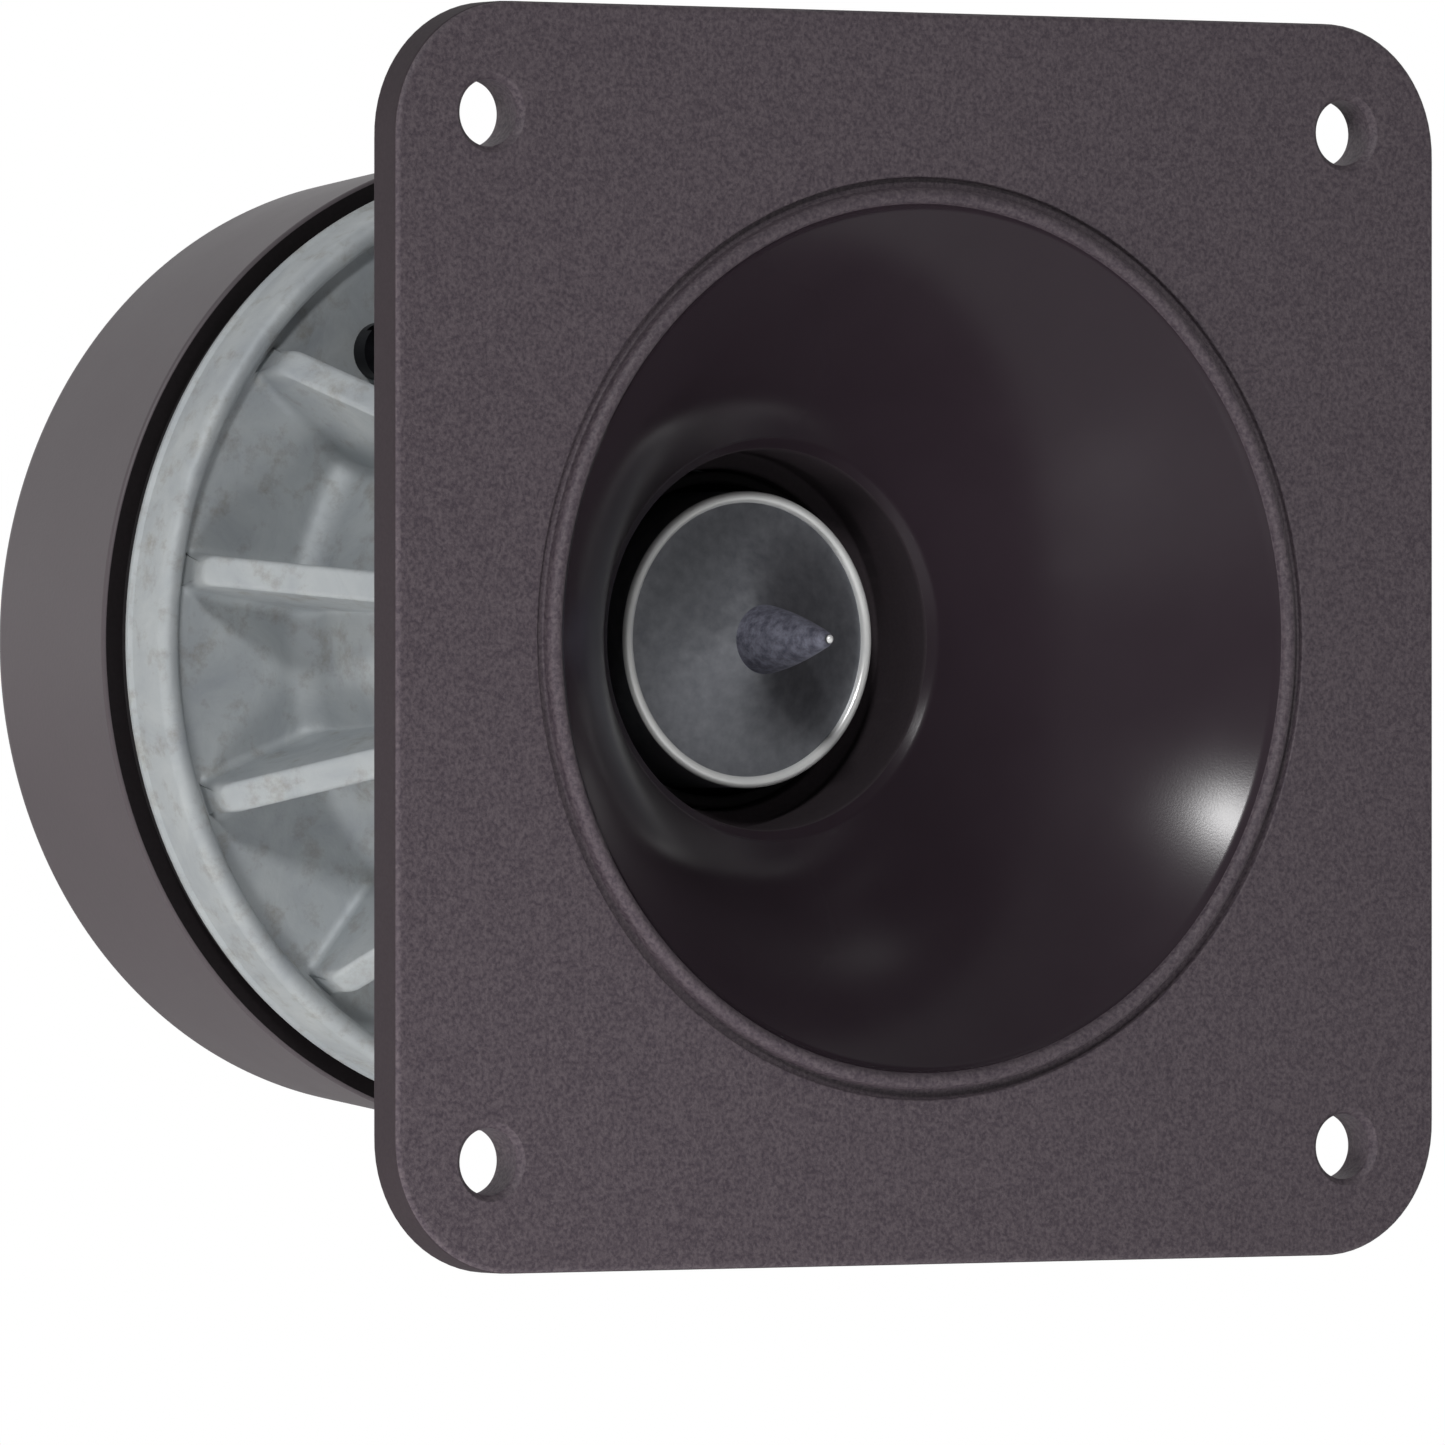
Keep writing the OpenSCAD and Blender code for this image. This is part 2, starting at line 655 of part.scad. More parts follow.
// Gasket between the housing and the top plate, cut away where the leads run.
module motor_gasket() {
    color("#19171b") facing_front() difference() {
        ring(clamp_r + pass_gap, rim_r - gasket_inset, housing_back_d, plate_d);
        for (a = assembly_angles)
            at_clock(a) translate([assembly_pitch_r, 0, 0])
                rod(assembly_screw_r + pass_gap, housing_back_d - eps, plate_d + eps);
        at_clock(bay_angle) bay_box(clamp_in_r, boss_u + boss_l, -boss_w / 2, boss_w / 2,
            housing_back_d - eps, plate_d + eps);
    }
}

// Steel ring that forms the outer side of the magnet gap.
module top_plate() {
    color("#b4b6b8") facing_front() difference() {
        ring(gap_r, plate_r, plate_d, magnet_d);
        for (a = assembly_angles)
            at_clock(a) translate([assembly_pitch_r, 0, 0])
                rod(assembly_screw_r + grip_gap, plate_d - eps, magnet_d + eps);
    }
}

// Ferrite ring.
module magnet() {
    color("#3a3a3c") facing_front()
        ring(magnet_bore_r, magnet_r, magnet_d, back_plate_d);
}

// Steel disc that closes the magnet's back.
module back_plate() {
    color("#b4b6b8") facing_front()
        ring(spigot_r + grip_gap, magnet_r - back_plate_inset, back_plate_d, motor_back_d);
}

// Steel core, pressed into the back plate and drilled for the centre screw.
module pole_piece() {
    color("#a3a6a8") facing_front() difference() {
        union() {
            rod(pole_r, plate_d, back_plate_d);
            rod(spigot_r, plate_d + eps, motor_back_d);
        }
        rod(centre_screw_r + pass_gap, plate_d - eps, motor_back_d + eps);
        rod(centre_screw_r * head_ratio + pass_gap, centre_head_d, motor_back_d + eps);
    }
}

// Cup that slips over the motor.
module magnet_cover() {
    in_r = plate_r + seat_gap;
    out_r = in_r + cover_wall;
    back_r = out_r - cover_draft;
    color("#5b5450") facing_front() turned([
        [in_r, cover_front_d], [out_r, cover_front_d],
        each arc([back_r - cover_round, cover_back_d - cover_round], cover_round, 0, 90),
        [0, cover_back_d], [0, motor_back_d], [in_r, motor_back_d]]);
}

// ---- Fasteners and terminals ----

// Screws that clamp the housing to the top plate.
module assembly_screws() {
    color("#26262a") facing_front() for (a = assembly_angles)
        at_clock(a) translate([assembly_pitch_r, 0, 0])
            screw(assembly_screw_r, assembly_screw_l, web_d, 1);
}

// Insulating block with a boss through the web and a fixing foot.
module terminal_block() {
    color("#1c1b1e") facing_front() at_clock(bay_angle) difference() {
        union() {
            bay_box(block_u, block_u + block_l, -block_w / 2, block_w / 2, block_d, web_d);
            bay_box(boss_u + seat_gap, boss_u + boss_l - seat_gap,
                -boss_w / 2 + seat_gap, boss_w / 2 - seat_gap, web_d - eps, housing_back_d);
            bay_box(foot_u, block_u + eps, -foot_w / 2, foot_w / 2, web_d - foot_t, web_d);
        }
        translate([screw_u, 0, 0]) rod(block_screw_r + pass_gap, web_d - foot_t - eps, web_d + eps);
        for (side = [-1, 1]) terminal_shape(side, grip_gap);
    }
}

// L-shaped blade: a flat tab outwards and a leg back through the block.
module terminal_shape(side, grow) {
    v = side * blade_pitch / 2;
    bay_box(leg_u - grow, blade_tip_u, v - blade_w / 2 - grow, v + blade_w / 2 + grow,
        blade_d - grow, blade_d + blade_t + grow);
    bay_box(leg_u - grow, leg_u + blade_t + grow, v - leg_w / 2 - grow, v + leg_w / 2 + grow,
        blade_d, lead_back_d + grow);
}

// Blade with the hole that a receptacle's dimple finds.
module terminal(side) {
    facing_front() at_clock(bay_angle) difference() {
        terminal_shape(side, 0);
        translate([blade_tip_u - blade_l / 2, side * blade_pitch / 2, 0])
            rod(blade_hole_d / 2, blade_d - eps, blade_d + blade_t + eps);
    }
}

// Blade nearer the top.
module terminal_positive() {
    color("#c9a24d") terminal(-1);
}

// Blade nearer the bottom.
module terminal_negative() {
    color("#c9c9c4") terminal(1);
}

// Screw that holds the block's foot to the web.
module terminal_screw() {
    color("#26262a") facing_front() at_clock(bay_angle) translate([screw_u, 0, 0])
        screw(block_screw_r, foot_t + web_t - 2 * pass_gap, web_d - foot_t, 1);
}

// Copper strip from a blade's leg to the notch in the clamp ring.
module lead(side) {
    v = side * blade_pitch / 2;
    facing_front() at_clock(bay_angle)
        bay_box(lead_in_u, leg_u, v - leg_w / 2, v + leg_w / 2, lead_d, lead_back_d);
}

// Strip to the positive blade.
module lead_positive() {
    color("#b87333") lead(-1);
}

// Strip to the negative blade.
module lead_negative() {
    color("#b87333") lead(1);
}

horn();
horn_gasket();
horn_screws();
front_housing();
throat_tube();
phase_plug();
centre_screw();
centre_spacer();
clamp_ring();
outer_surround();
diaphragm();
inner_surround();
coil_former();
voice_coil();
motor_gasket();
top_plate();
magnet();
back_plate();
pole_piece();
magnet_cover();
assembly_screws();
terminal_block();
terminal_positive();
terminal_negative();
terminal_screw();
lead_positive();
lead_negative();
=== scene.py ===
import math

import bmesh
import bpy
import numpy as np
from mathutils import Matrix, Vector


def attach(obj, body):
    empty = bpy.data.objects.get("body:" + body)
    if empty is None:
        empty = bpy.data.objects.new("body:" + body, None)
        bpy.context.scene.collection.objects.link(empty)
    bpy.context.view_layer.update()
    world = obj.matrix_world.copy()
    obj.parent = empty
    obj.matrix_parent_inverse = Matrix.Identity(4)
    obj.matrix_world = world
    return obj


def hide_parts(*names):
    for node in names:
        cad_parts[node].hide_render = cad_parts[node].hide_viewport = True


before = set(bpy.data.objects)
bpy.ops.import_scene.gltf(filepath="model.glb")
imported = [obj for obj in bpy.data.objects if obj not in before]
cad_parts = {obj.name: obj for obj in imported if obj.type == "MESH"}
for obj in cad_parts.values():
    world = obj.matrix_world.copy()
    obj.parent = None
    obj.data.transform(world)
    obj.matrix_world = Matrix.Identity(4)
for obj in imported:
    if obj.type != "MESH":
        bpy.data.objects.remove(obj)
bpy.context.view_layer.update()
MM = 0.001
WAVE = 0.314        # metres between two crests of a wave texture at scale 1

# ---- Motor: back plate, pole piece, magnet and top plate ----
# Two steel plates and a core, turned from bar and zinc plated, with a sintered ferrite ring
# between the plates. The ring is glued in, and the core is pressed into the back plate.

turning_pitch = 0.25 * MM
ferrite_grain = 0.35 * MM
zinc_steel_hex = ("#a6a9ac", "#c3c5c6")
ferrite_hex = ("#2f2f31", "#434345")


def linear(hex_colour):
    """A colour given as sRGB hex, in the linear values that shaders take."""
    parts = [int(hex_colour[i:i + 2], 16) / 255 for i in (1, 3, 5)]
    return [p / 12.92 if p <= 0.04045 else ((p + 0.055) / 1.055) ** 2.4 for p in parts] + [1.0]


def add(tree, kind, inputs=(), **settings):
    """Add a shader node with its settings. An input is a value, or a socket to link to it."""
    made = tree.nodes.new("ShaderNode" + kind)
    for name, value in settings.items():
        setattr(made, name, value)
    for name, value in dict(inputs).items():
        if isinstance(value, bpy.types.NodeSocket):
            tree.links.new(value, made.inputs[name])
        else:
            made.inputs[name].default_value = value
    return made


def start_material(name, **uniform):
    """A new material with its node tree, its shader and the coordinates that its patterns use."""
    made = bpy.data.materials.new(name)
    made.use_nodes = True
    shader = made.node_tree.nodes["Principled BSDF"]
    for socket, value in uniform.items():
        shader.inputs[socket.replace("_", " ")].default_value = value
    place = add(made.node_tree, "TexCoord").outputs["Object"]
    return made, made.node_tree, shader, place


def blend_colours(tree, amount, hex_a, hex_b):
    """Socket with a mix of two colours by a pattern."""
    mixed = add(tree, "Mix", {"Factor": amount, 6: linear(hex_a), 7: linear(hex_b)}, data_type="RGBA")
    return mixed.outputs[2]


def paint(material, *names):
    """Give a finish to CAD nodes whose own shape is kept."""
    for name in names:
        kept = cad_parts[name]
        kept.data.materials.clear()
        kept.data.materials.append(material)


# Zinc-plated turned steel: a grey metal with the fine rings that the cutting tool left.
zinc_steel, tree, shader, place = start_material("zinc_plated_turned_steel", Metallic=1.0, Roughness=0.34)
rings = add(tree, "TexWave", {"Vector": place, "Scale": WAVE / turning_pitch, "Distortion": 0.6},
            wave_type="RINGS", rings_direction="Y")
cloud = add(tree, "TexNoise", {"Vector": place, "Scale": 180.0, "Detail": 3.0})
tree.links.new(blend_colours(tree, cloud.outputs["Fac"], *zinc_steel_hex), shader.inputs["Base Color"])
relief = add(tree, "Bump", {"Height": rings.outputs["Fac"], "Strength": 0.25, "Distance": 0.01 * MM})
tree.links.new(relief.outputs["Normal"], shader.inputs["Normal"])
paint(zinc_steel, "top_plate", "back_plate", "pole_piece")

# Sintered ferrite: nearly black, dull, with a fine speckle of grains.
ferrite, tree, shader, place = start_material("sintered_ferrite", Roughness=0.62)
grains = add(tree, "TexNoise", {"Vector": place, "Scale": 1 / ferrite_grain, "Detail": 2.0})
tree.links.new(blend_colours(tree, grains.outputs["Fac"], *ferrite_hex), shader.inputs["Base Color"])
relief = add(tree, "Bump", {"Height": grains.outputs["Fac"], "Strength": 0.4, "Distance": 0.02 * MM})
tree.links.new(relief.outputs["Normal"], shader.inputs["Normal"])
paint(ferrite, "magnet")

# ---- Magnet cover ----
# A cup moulded in filled rubber-like plastic that slips over the motor. It has a little draft,
# a round back edge and a shallow recess in its flat back, where a moulding gate leaves a dimple.

cover_front = 47.65
cover_back = 65.3
cover_inside_r = 31.95
cover_mouth_r = 34.65
cover_back_r = 32.95
cover_floor_front = 63.6
cover_edge_round = 1.5
cover_lip_round = 0.3
cover_panel_r = 28.2
cover_panel_drop = 0.35
gate_r = 1.6
gate_drop = 0.5
cover_steps = 288


def eased(corners, closed=True, arc_steps=6):
    """Section outline with round corners. A corner is (radius, depth, fillet) in millimetres."""
    out = []
    for i, (r, d, fillet) in enumerate(corners):
        here = np.array([r, d], float)
        if fillet <= 0 or (not closed and i in (0, len(corners) - 1)):
            out.append(tuple(here))
            continue
        back = np.array(corners[i - 1][:2], float) - here
        ahead = np.array(corners[(i + 1) % len(corners)][:2], float) - here
        back_l, ahead_l = np.linalg.norm(back), np.linalg.norm(ahead)
        back, ahead = back / back_l, ahead / ahead_l
        half = math.acos(max(-1.0, min(1.0, float(back @ ahead)))) / 2
        reach = min(fillet / math.tan(half), 0.49 * back_l, 0.49 * ahead_l)
        round_r = reach * math.tan(half)
        middle = here + (back + ahead) / np.linalg.norm(back + ahead) * round_r / math.sin(half)
        a, b = here + back * reach - middle, here + ahead * reach - middle
        sweep = math.pi - 2 * half
        for k in range(arc_steps + 1):
            t = k / arc_steps
            spoke = (a * math.sin((1 - t) * sweep) + b * math.sin(t * sweep)) / math.sin(sweep)
            out.append(tuple(middle + spoke))
    return out


def skin(name, rings, closed=True, bands=None):
    """Mesh object from rings of points in millimetres, each joined to the next. A ring of one
    point closes on the axis. bands gives the material number of each strip."""
    points, starts, faces, numbers = [], [], [], []
    for ring in rings:
        starts.append(len(points))
        points.extend(ring)
    strips = range(len(rings)) if closed else range(len(rings) - 1)
    for k in strips:
        j = (k + 1) % len(rings)
        n, m, a, b = len(rings[k]), len(rings[j]), starts[k], starts[j]
        for i in range(max(n, m)):
            e = (i + 1) % max(n, m)
            quad = [a + i % n, a + e % n, b + e % m, b + i % m]
            corner = [p for c, p in enumerate(quad) if p not in quad[:c]]
            if len(corner) > 2:
                faces.append(corner)
                numbers.append(bands[k] if bands else 0)
    mesh = bpy.data.meshes.new(name)
    mesh.from_pydata([Vector(p) * MM for p in points], [], faces)
    mesh.polygons.foreach_set("material_index", numbers)
    work = bmesh.new()
    work.from_mesh(mesh)
    bmesh.ops.recalc_face_normals(work, faces=work.faces)
    work.to_mesh(mesh)
    work.free()
    made = bpy.data.objects.new(name, mesh)
    bpy.context.scene.collection.objects.link(made)
    return made


def circle(r, d, steps):
    """Ring of points about the horn axis, or one point where the radius is zero."""
    if r <= 0:
        return [(0.0, d, 0.0)]
    turns = [2 * math.pi * i / steps for i in range(steps)]
    return [(r * math.cos(a), d, r * math.sin(a)) for a in turns]


def spun(name, outline, steps, closed=True, bands=None):
    """Turned piece from its section, walked from the axis or right round."""
    return skin(name, [circle(r, d, steps) for r, d in outline], closed, bands)


def finish_mesh(piece, *materials, crease=40):
    """Smooth shading that keeps true edges, with flat faces left flat, and the piece's finishes."""
    for material in materials:
        piece.data.materials.append(material)
    piece.data.shade_smooth()
    piece.data.set_sharp_from_angle(angle=math.radians(crease))
    weighted = piece.modifiers.new("even_shading", "WEIGHTED_NORMAL")
    weighted.keep_sharp = True
    weighted.weight = 100


def stand_for(piece, slot, *nodes):
    """The piece moves with the tweeter and replaces its CAD nodes; slot is not used."""
    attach(piece, "tweeter")
    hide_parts(*nodes)


# Moulded filled rubber: warm dark grey, satin, with a faint cloudiness from the moulding.
cover_finish, tree, shader, place = start_material("moulded_filled_rubber", IOR=1.5)
cloud = add(tree, "TexNoise", {"Vector": place, "Scale": 1 / (9 * MM), "Detail": 4.0, "Roughness": 0.6})
grain = add(tree, "TexNoise", {"Vector": place, "Scale": 1 / (0.3 * MM), "Detail": 2.0})
tone = add(tree, "Mix", {"Factor": 0.35, 2: cloud.outputs["Fac"], 3: grain.outputs["Fac"]})
tree.links.new(blend_colours(tree, tone.outputs[0], "#3f393d", "#4d464a"), shader.inputs["Base Color"])
sheen = add(tree, "MapRange", {"Value": cloud.outputs["Fac"], "To Min": 0.42, "To Max": 0.56})
tree.links.new(sheen.outputs["Result"], shader.inputs["Roughness"])
relief = add(tree, "Bump", {"Height": grain.outputs["Fac"], "Strength": 0.25, "Distance": 0.03 * MM})
tree.links.new(relief.outputs["Normal"], shader.inputs["Normal"])

# Painted shade: the cup's mouth, painted black and dead matt, stands in for the shadow in the gap behind
# the rim.
cover_lip_painted_shade, tree, shader, place = start_material("painted_shade_cover_lip", Roughness=0.95, Specular_IOR_Level=0.2)
grain = add(tree, "TexNoise", {"Vector": place, "Scale": 1 / (0.3 * MM), "Detail": 2.0})
tree.links.new(blend_colours(tree, grain.outputs["Fac"], "#0d0b0c", "#191517"), shader.inputs["Base Color"])

cover_section = eased([
    (0, cover_back - gate_drop, 0), (gate_r * 0.7, cover_back - gate_drop, 0.1),
    (gate_r, cover_back - cover_panel_drop, 0.15),
    (cover_panel_r - 0.6, cover_back - cover_panel_drop, 0.4),
    (cover_panel_r, cover_back, 0.35), (cover_back_r, cover_back, cover_edge_round),
    (cover_mouth_r, cover_front, cover_lip_round), (cover_inside_r, cover_front, cover_lip_round),
    (cover_inside_r, cover_floor_front, 0.5), (0, cover_floor_front, 0)], closed=False, arc_steps=8)
# The strips at the cup's mouth take the painted shade.
in_lip = [r < cover_mouth_r - cover_lip_round and d < cover_front + cover_lip_round
          for r, d in cover_section]
magnet_cover = spun("magnet_cover_cup", cover_section, cover_steps, closed=False,
                    bands=[int(a or b) for a, b in zip(in_lip, in_lip[1:])])
finish_mesh(magnet_cover, cover_finish, cover_lip_painted_shade)
stand_for(magnet_cover, "cover_rubber", "magnet_cover")

# ---- Phase plug, with its spacer and screw ----
# A bullet turned from aluminium bar, with a shallow hollow cone, a slender spike and a round
# bright rim. A screw through the pole piece and a brass washer hold it in the throat.

spike_tip = 8.6
spike_foot = 16.8
spike_foot_r = 2.4
plug_rim = 18.7
cone_edge = 19.1
cone_bow = 1.6
cone_r = 9.45
plug_r = 10.25
plug_flare_start = 33.7
plug_back_face = 45.0
plug_back_r = 12.45
plug_seat = 45.6
plug_seat_r = 9.35
plug_bore_r = 1.52
plug_bore_end = 35.6
plug_steps = 256

# Satin turned aluminium: the cone and the spike, grey with faint turning rings that stretch
# highlights into fans.
plug_finish, tree, shader, place = start_material(
    "satin_turned_aluminium", Metallic=0.72, Anisotropic=0.6)
rings = add(tree, "TexWave", {"Vector": place, "Scale": WAVE / (0.16 * MM), "Distortion": 0.4},
            wave_type="RINGS", rings_direction="Y")
haze = add(tree, "TexNoise", {"Vector": place, "Scale": 1 / (0.9 * MM), "Detail": 5.0, "Roughness": 0.6})
tree.links.new(blend_colours(tree, haze.outputs["Fac"], "#5c5e66", "#8f9195"), shader.inputs["Base Color"])
sheen = add(tree, "MapRange", {"Value": haze.outputs["Fac"], "To Min": 0.28, "To Max": 0.44})
tree.links.new(sheen.outputs["Result"], shader.inputs["Roughness"])
relief = add(tree, "Bump", {"Height": rings.outputs["Fac"], "Strength": 0.12, "Distance": 0.006 * MM})
tree.links.new(relief.outputs["Normal"], shader.inputs["Normal"])
round_cut = add(tree, "Tangent", direction_type="RADIAL", axis="Y")
tree.links.new(round_cut.outputs["Tangent"], shader.inputs["Tangent"])

# Painted reflection: the spike's blue-grey mottle stands in for the swirling reflections on it; the metal
# is kept dull, and the tip takes the rim's finish.
spike_reflection_paint, tree, shader, place = start_material("painted_reflection_spike", Metallic=0.3, Roughness=0.5)
swirl_noise = add(tree, "TexNoise", {"Vector": place, "Scale": 1 / (0.7 * MM), "Detail": 4.0, "Roughness": 0.7})
swirl_mask = add(tree, "MapRange", {"Value": swirl_noise.outputs["Fac"], "From Min": 0.35, "From Max": 0.65})
tree.links.new(blend_colours(tree, swirl_mask.outputs["Result"], "#5a5a68", "#8e8f9e"),
               shader.inputs["Base Color"])

# Burnished aluminium: the rim, the only part of the plug that was buffed bright. The same near-white finish
# on the spike's tip is a painted highlight.
rim_and_tip_highlight_finish, tree, shader, place = start_material("burnished_rim_and_painted_tip_highlight", Metallic=0.35, Roughness=0.25)
haze = add(tree, "TexNoise", {"Vector": place, "Scale": 1 / (1.2 * MM), "Detail": 3.0})
tree.links.new(blend_colours(tree, haze.outputs["Fac"], "#e6e8e8", "#f6f6f4"), shader.inputs["Base Color"])

# The spike below its tip takes the painted reflections.
spike = [(0, spike_tip), (0.17, spike_tip + 0.05), (0.29, spike_tip + 0.17), (0.34, spike_tip + 0.34)]
for i in range(2, 25):
    t = i / 24
    swell = 0.55 * t + 0.45 * math.sin(math.radians(90 * t))
    spike.append((0.34 + (spike_foot_r - 0.34) * swell, spike_tip + (spike_foot - spike_tip) * t))
cone = []
for i in range(1, 22):
    t = i / 22
    cone.append((spike_foot_r + (cone_r - spike_foot_r) * t,
                 spike_foot + (cone_edge - spike_foot) * (1 - (1 - t) ** cone_bow)))
rim_half = (plug_r - cone_r) / 2
rim_arc = [(cone_r + rim_half - rim_half * math.cos(math.radians(a)),
            plug_rim + rim_half * (1 - math.sin(math.radians(a)))) for a in range(0, 181, 12)]
plug_section = spike + cone + rim_arc + eased([
    (plug_r, cone_edge + 0.1, 0), (plug_r, plug_flare_start, 6.0),
    (plug_back_r, plug_back_face, 0.1), (plug_seat_r, plug_back_face, 0.05),
    (plug_seat_r, plug_seat, 0.05), (plug_bore_r, plug_seat, 0.05), (plug_bore_r, plug_bore_end, 0.05),
    (0, plug_bore_end, 0)], closed=False, arc_steps=5)
# The first three points of the spike, at its tip, take the rim's near-white finish as a painted highlight.
finish_at = [2 if point in spike[3:] else int(point in rim_arc + spike[:3]) for point in plug_section]
phase_plug = spun("phase_plug_bullet", plug_section, plug_steps, closed=False,
                  bands=[a if a == b else 0 for a, b in zip(finish_at, finish_at[1:])])
finish_mesh(phase_plug, plug_finish, rim_and_tip_highlight_finish, spike_reflection_paint)
stand_for(phase_plug, "polished_aluminium", "phase_plug")

paint(zinc_steel, "centre_screw")

# Turned brass: the spacer washer, yellow with fine turning rings.
brass, tree, shader, place = start_material("turned_brass", Metallic=1.0, Roughness=0.3)
rings = add(tree, "TexWave", {"Vector": place, "Scale": WAVE / turning_pitch},
            wave_type="RINGS", rings_direction="Y")
tree.links.new(blend_colours(tree, rings.outputs["Fac"], "#b1975a", "#c4ae78"), shader.inputs["Base Color"])
paint(brass, "centre_spacer")

# ---- Diaphragm, surrounds, coil former and voice coil ----
# A ring pressed from resin-bound cloth, hung between two soft cloth rolls. A film tube glued to
# it carries the copper winding in the magnet gap.

thread_spacing = 0.28 * MM
wire_pitch = 0.12 * MM

# Resin-bound cloth is a brown woven sheet, glossy where the resin has run. Doped cloth, on the
# soft surrounds, is matt and darker.
for name, roughness, ior, dark, light, bump, depth, nodes in (
        ("phenolic_bound_cloth", 0.36, 1.55, "#8a672f", "#b58f4d", 0.4, 0.04, ("diaphragm",)),
        ("doped_surround_cloth", 0.78, 1.5, "#594a2e", "#7a6742", 0.6, 0.05,
         ("outer_surround", "inner_surround"))):
    cloth, tree, shader, place = start_material(name, Roughness=roughness, IOR=ior)
    warp = add(tree, "TexWave", {"Vector": place, "Scale": WAVE / thread_spacing}, bands_direction="X")
    weft = add(tree, "TexWave", {"Vector": place, "Scale": WAVE / thread_spacing}, bands_direction="Z")
    weave = add(tree, "Math", {0: warp.outputs["Fac"], 1: weft.outputs["Fac"]}, operation="MULTIPLY")
    tree.links.new(blend_colours(tree, weave.outputs[0], dark, light), shader.inputs["Base Color"])
    relief = add(tree, "Bump", {"Height": weave.outputs[0], "Strength": bump, "Distance": depth * MM})
    tree.links.new(relief.outputs["Normal"], shader.inputs["Normal"])
    paint(cloth, *nodes)

# Polyimide film: smooth and amber, and it lets a little light through.
film, tree, shader, place = start_material("polyimide_film", Roughness=0.2, IOR=1.7)
haze = add(tree, "TexNoise", {"Vector": place, "Scale": 1 / (1.5 * MM), "Detail": 2.0})
tree.links.new(blend_colours(tree, haze.outputs["Fac"], "#b98a2f", "#d3a750"), shader.inputs["Base Color"])
paint(film, "coil_former")

# Enamelled copper wire, wound turn on turn: fine ridges round the coil.
copper, tree, shader, place = start_material("enamelled_copper_wire", Metallic=1.0, Roughness=0.28)
turns = add(tree, "TexWave", {"Vector": place, "Scale": WAVE / wire_pitch}, bands_direction="Y")
tree.links.new(blend_colours(tree, turns.outputs["Fac"], "#8a4a22", "#c67a45"), shader.inputs["Base Color"])
relief = add(tree, "Bump", {"Height": turns.outputs["Fac"], "Strength": 0.7, "Distance": 0.04 * MM})
tree.links.new(relief.outputs["Normal"], shader.inputs["Normal"])
paint(copper, "voice_coil", "lead_positive", "lead_negative")

# ---- Throat tube and clamp ring ----
# The tube is turned from aluminium. Its front end lies just behind the neck's floor, and its
# rear flange presses on the diaphragm's edge, against the clamp ring.

tube_front = 22.9
tube_r = 11.65
tube_bore_r = 10.85
tube_flare_start = 32.7
tube_shoulder_r = 16.05
tube_ledge = 44.2
tube_flange_r = 20.0
tube_seat = 45.6
tube_land_r = 16.8
tube_back_face = 45.0
tube_back_r = 13.05
tube_steps = 256

# Turned aluminium: bright, with close cutting rings.
tube_finish, tree, shader, place = start_material("turned_aluminium", Metallic=1.0, Anisotropic=0.3)
rings = add(tree, "TexWave", {"Vector": place, "Scale": WAVE / (0.14 * MM), "Distortion": 0.5},
            wave_type="RINGS", rings_direction="Y")
haze = add(tree, "TexNoise", {"Vector": place, "Scale": 1 / (1.6 * MM), "Detail": 4.0})
tree.links.new(blend_colours(tree, haze.outputs["Fac"], "#d2d5d3", "#ecedeb"), shader.inputs["Base Color"])
sheen = add(tree, "MapRange", {"Value": haze.outputs["Fac"], "To Min": 0.14, "To Max": 0.3})
tree.links.new(sheen.outputs["Result"], shader.inputs["Roughness"])
relief = add(tree, "Bump", {"Height": rings.outputs["Fac"], "Strength": 0.15, "Distance": 0.008 * MM})
tree.links.new(relief.outputs["Normal"], shader.inputs["Normal"])
round_cut = add(tree, "Tangent", direction_type="RADIAL", axis="Y")
tree.links.new(round_cut.outputs["Tangent"], shader.inputs["Tangent"])

# Painted shade: the tube's front end, painted near-black and matt, stands in for the shadow in the neck, so
# that it doesn't glint.
tube_front_painted_shade, tree, shader, place = start_material("painted_shade_tube_front", Roughness=0.7, Specular_IOR_Level=0.2)
haze = add(tree, "TexNoise", {"Vector": place, "Scale": 1 / (0.4 * MM), "Detail": 2.0})
tree.links.new(blend_colours(tree, haze.outputs["Fac"], "#0f0d0f", "#191618"), shader.inputs["Base Color"])

tube_wall = tube_r - tube_bore_r
tube_section = eased([
    (tube_bore_r, tube_front, tube_wall * 0.3), (tube_r, tube_front, tube_wall * 0.3),
    (tube_r, tube_flare_start, 3.0), (tube_shoulder_r, tube_ledge, 0.2), (tube_flange_r, tube_ledge, 0.15),
    (tube_flange_r, tube_seat, 0.15), (tube_land_r, tube_seat, 0.1), (tube_land_r, tube_back_face, 0.1),
    (tube_back_r, tube_back_face, 0.05), (tube_bore_r, tube_flare_start + 1, 3.0)], arc_steps=7)
# The tube's front end takes the painted shade.
throat_tube = spun("throat_tube_turned", tube_section, tube_steps,
                   bands=[int(r <= tube_r and d < 25) for r, d in tube_section])
finish_mesh(throat_tube, tube_finish, tube_front_painted_shade)
stand_for(throat_tube, "turned_aluminium", "throat_tube")
paint(tube_finish, "clamp_ring")

# ---- Front housing ----
# One pressure die casting in aluminium: a hollow hub, twelve sloping ribs, a web and a rim. It
# has draft on every wall, soft fillets at every foot and a skin clouded by the die's flow.

hub_front = 27.0
hub_r = 18.5
hub_base_r = 20.6
hub_fillet = 1.2
web_depth = 43.6
rim_in_r = 31.6
rim_out_r = 33.5
rim_front = 42.0
housing_back = 46.6
rib_count = 12
rib_first_angle = 21.0
rib_shoulder_r = 20.4
rib_foot_r = 31.8
rib_end_r = 30.9
rib_end_round = 0.6
rim_side_r = 33.25
rim_step = 45.98
rib_top_half = 1.08
rib_foot_half = 1.22
rib_edge_round = 0.42
rib_foot_round = 0.75
seat_r = 20.05
seat_depth = 44.2
cavity_back_r = 18.0
cavity_front_r = 17.08
cavity_front = 30.0
tube_hole_r = 11.7
bay_steps = 9


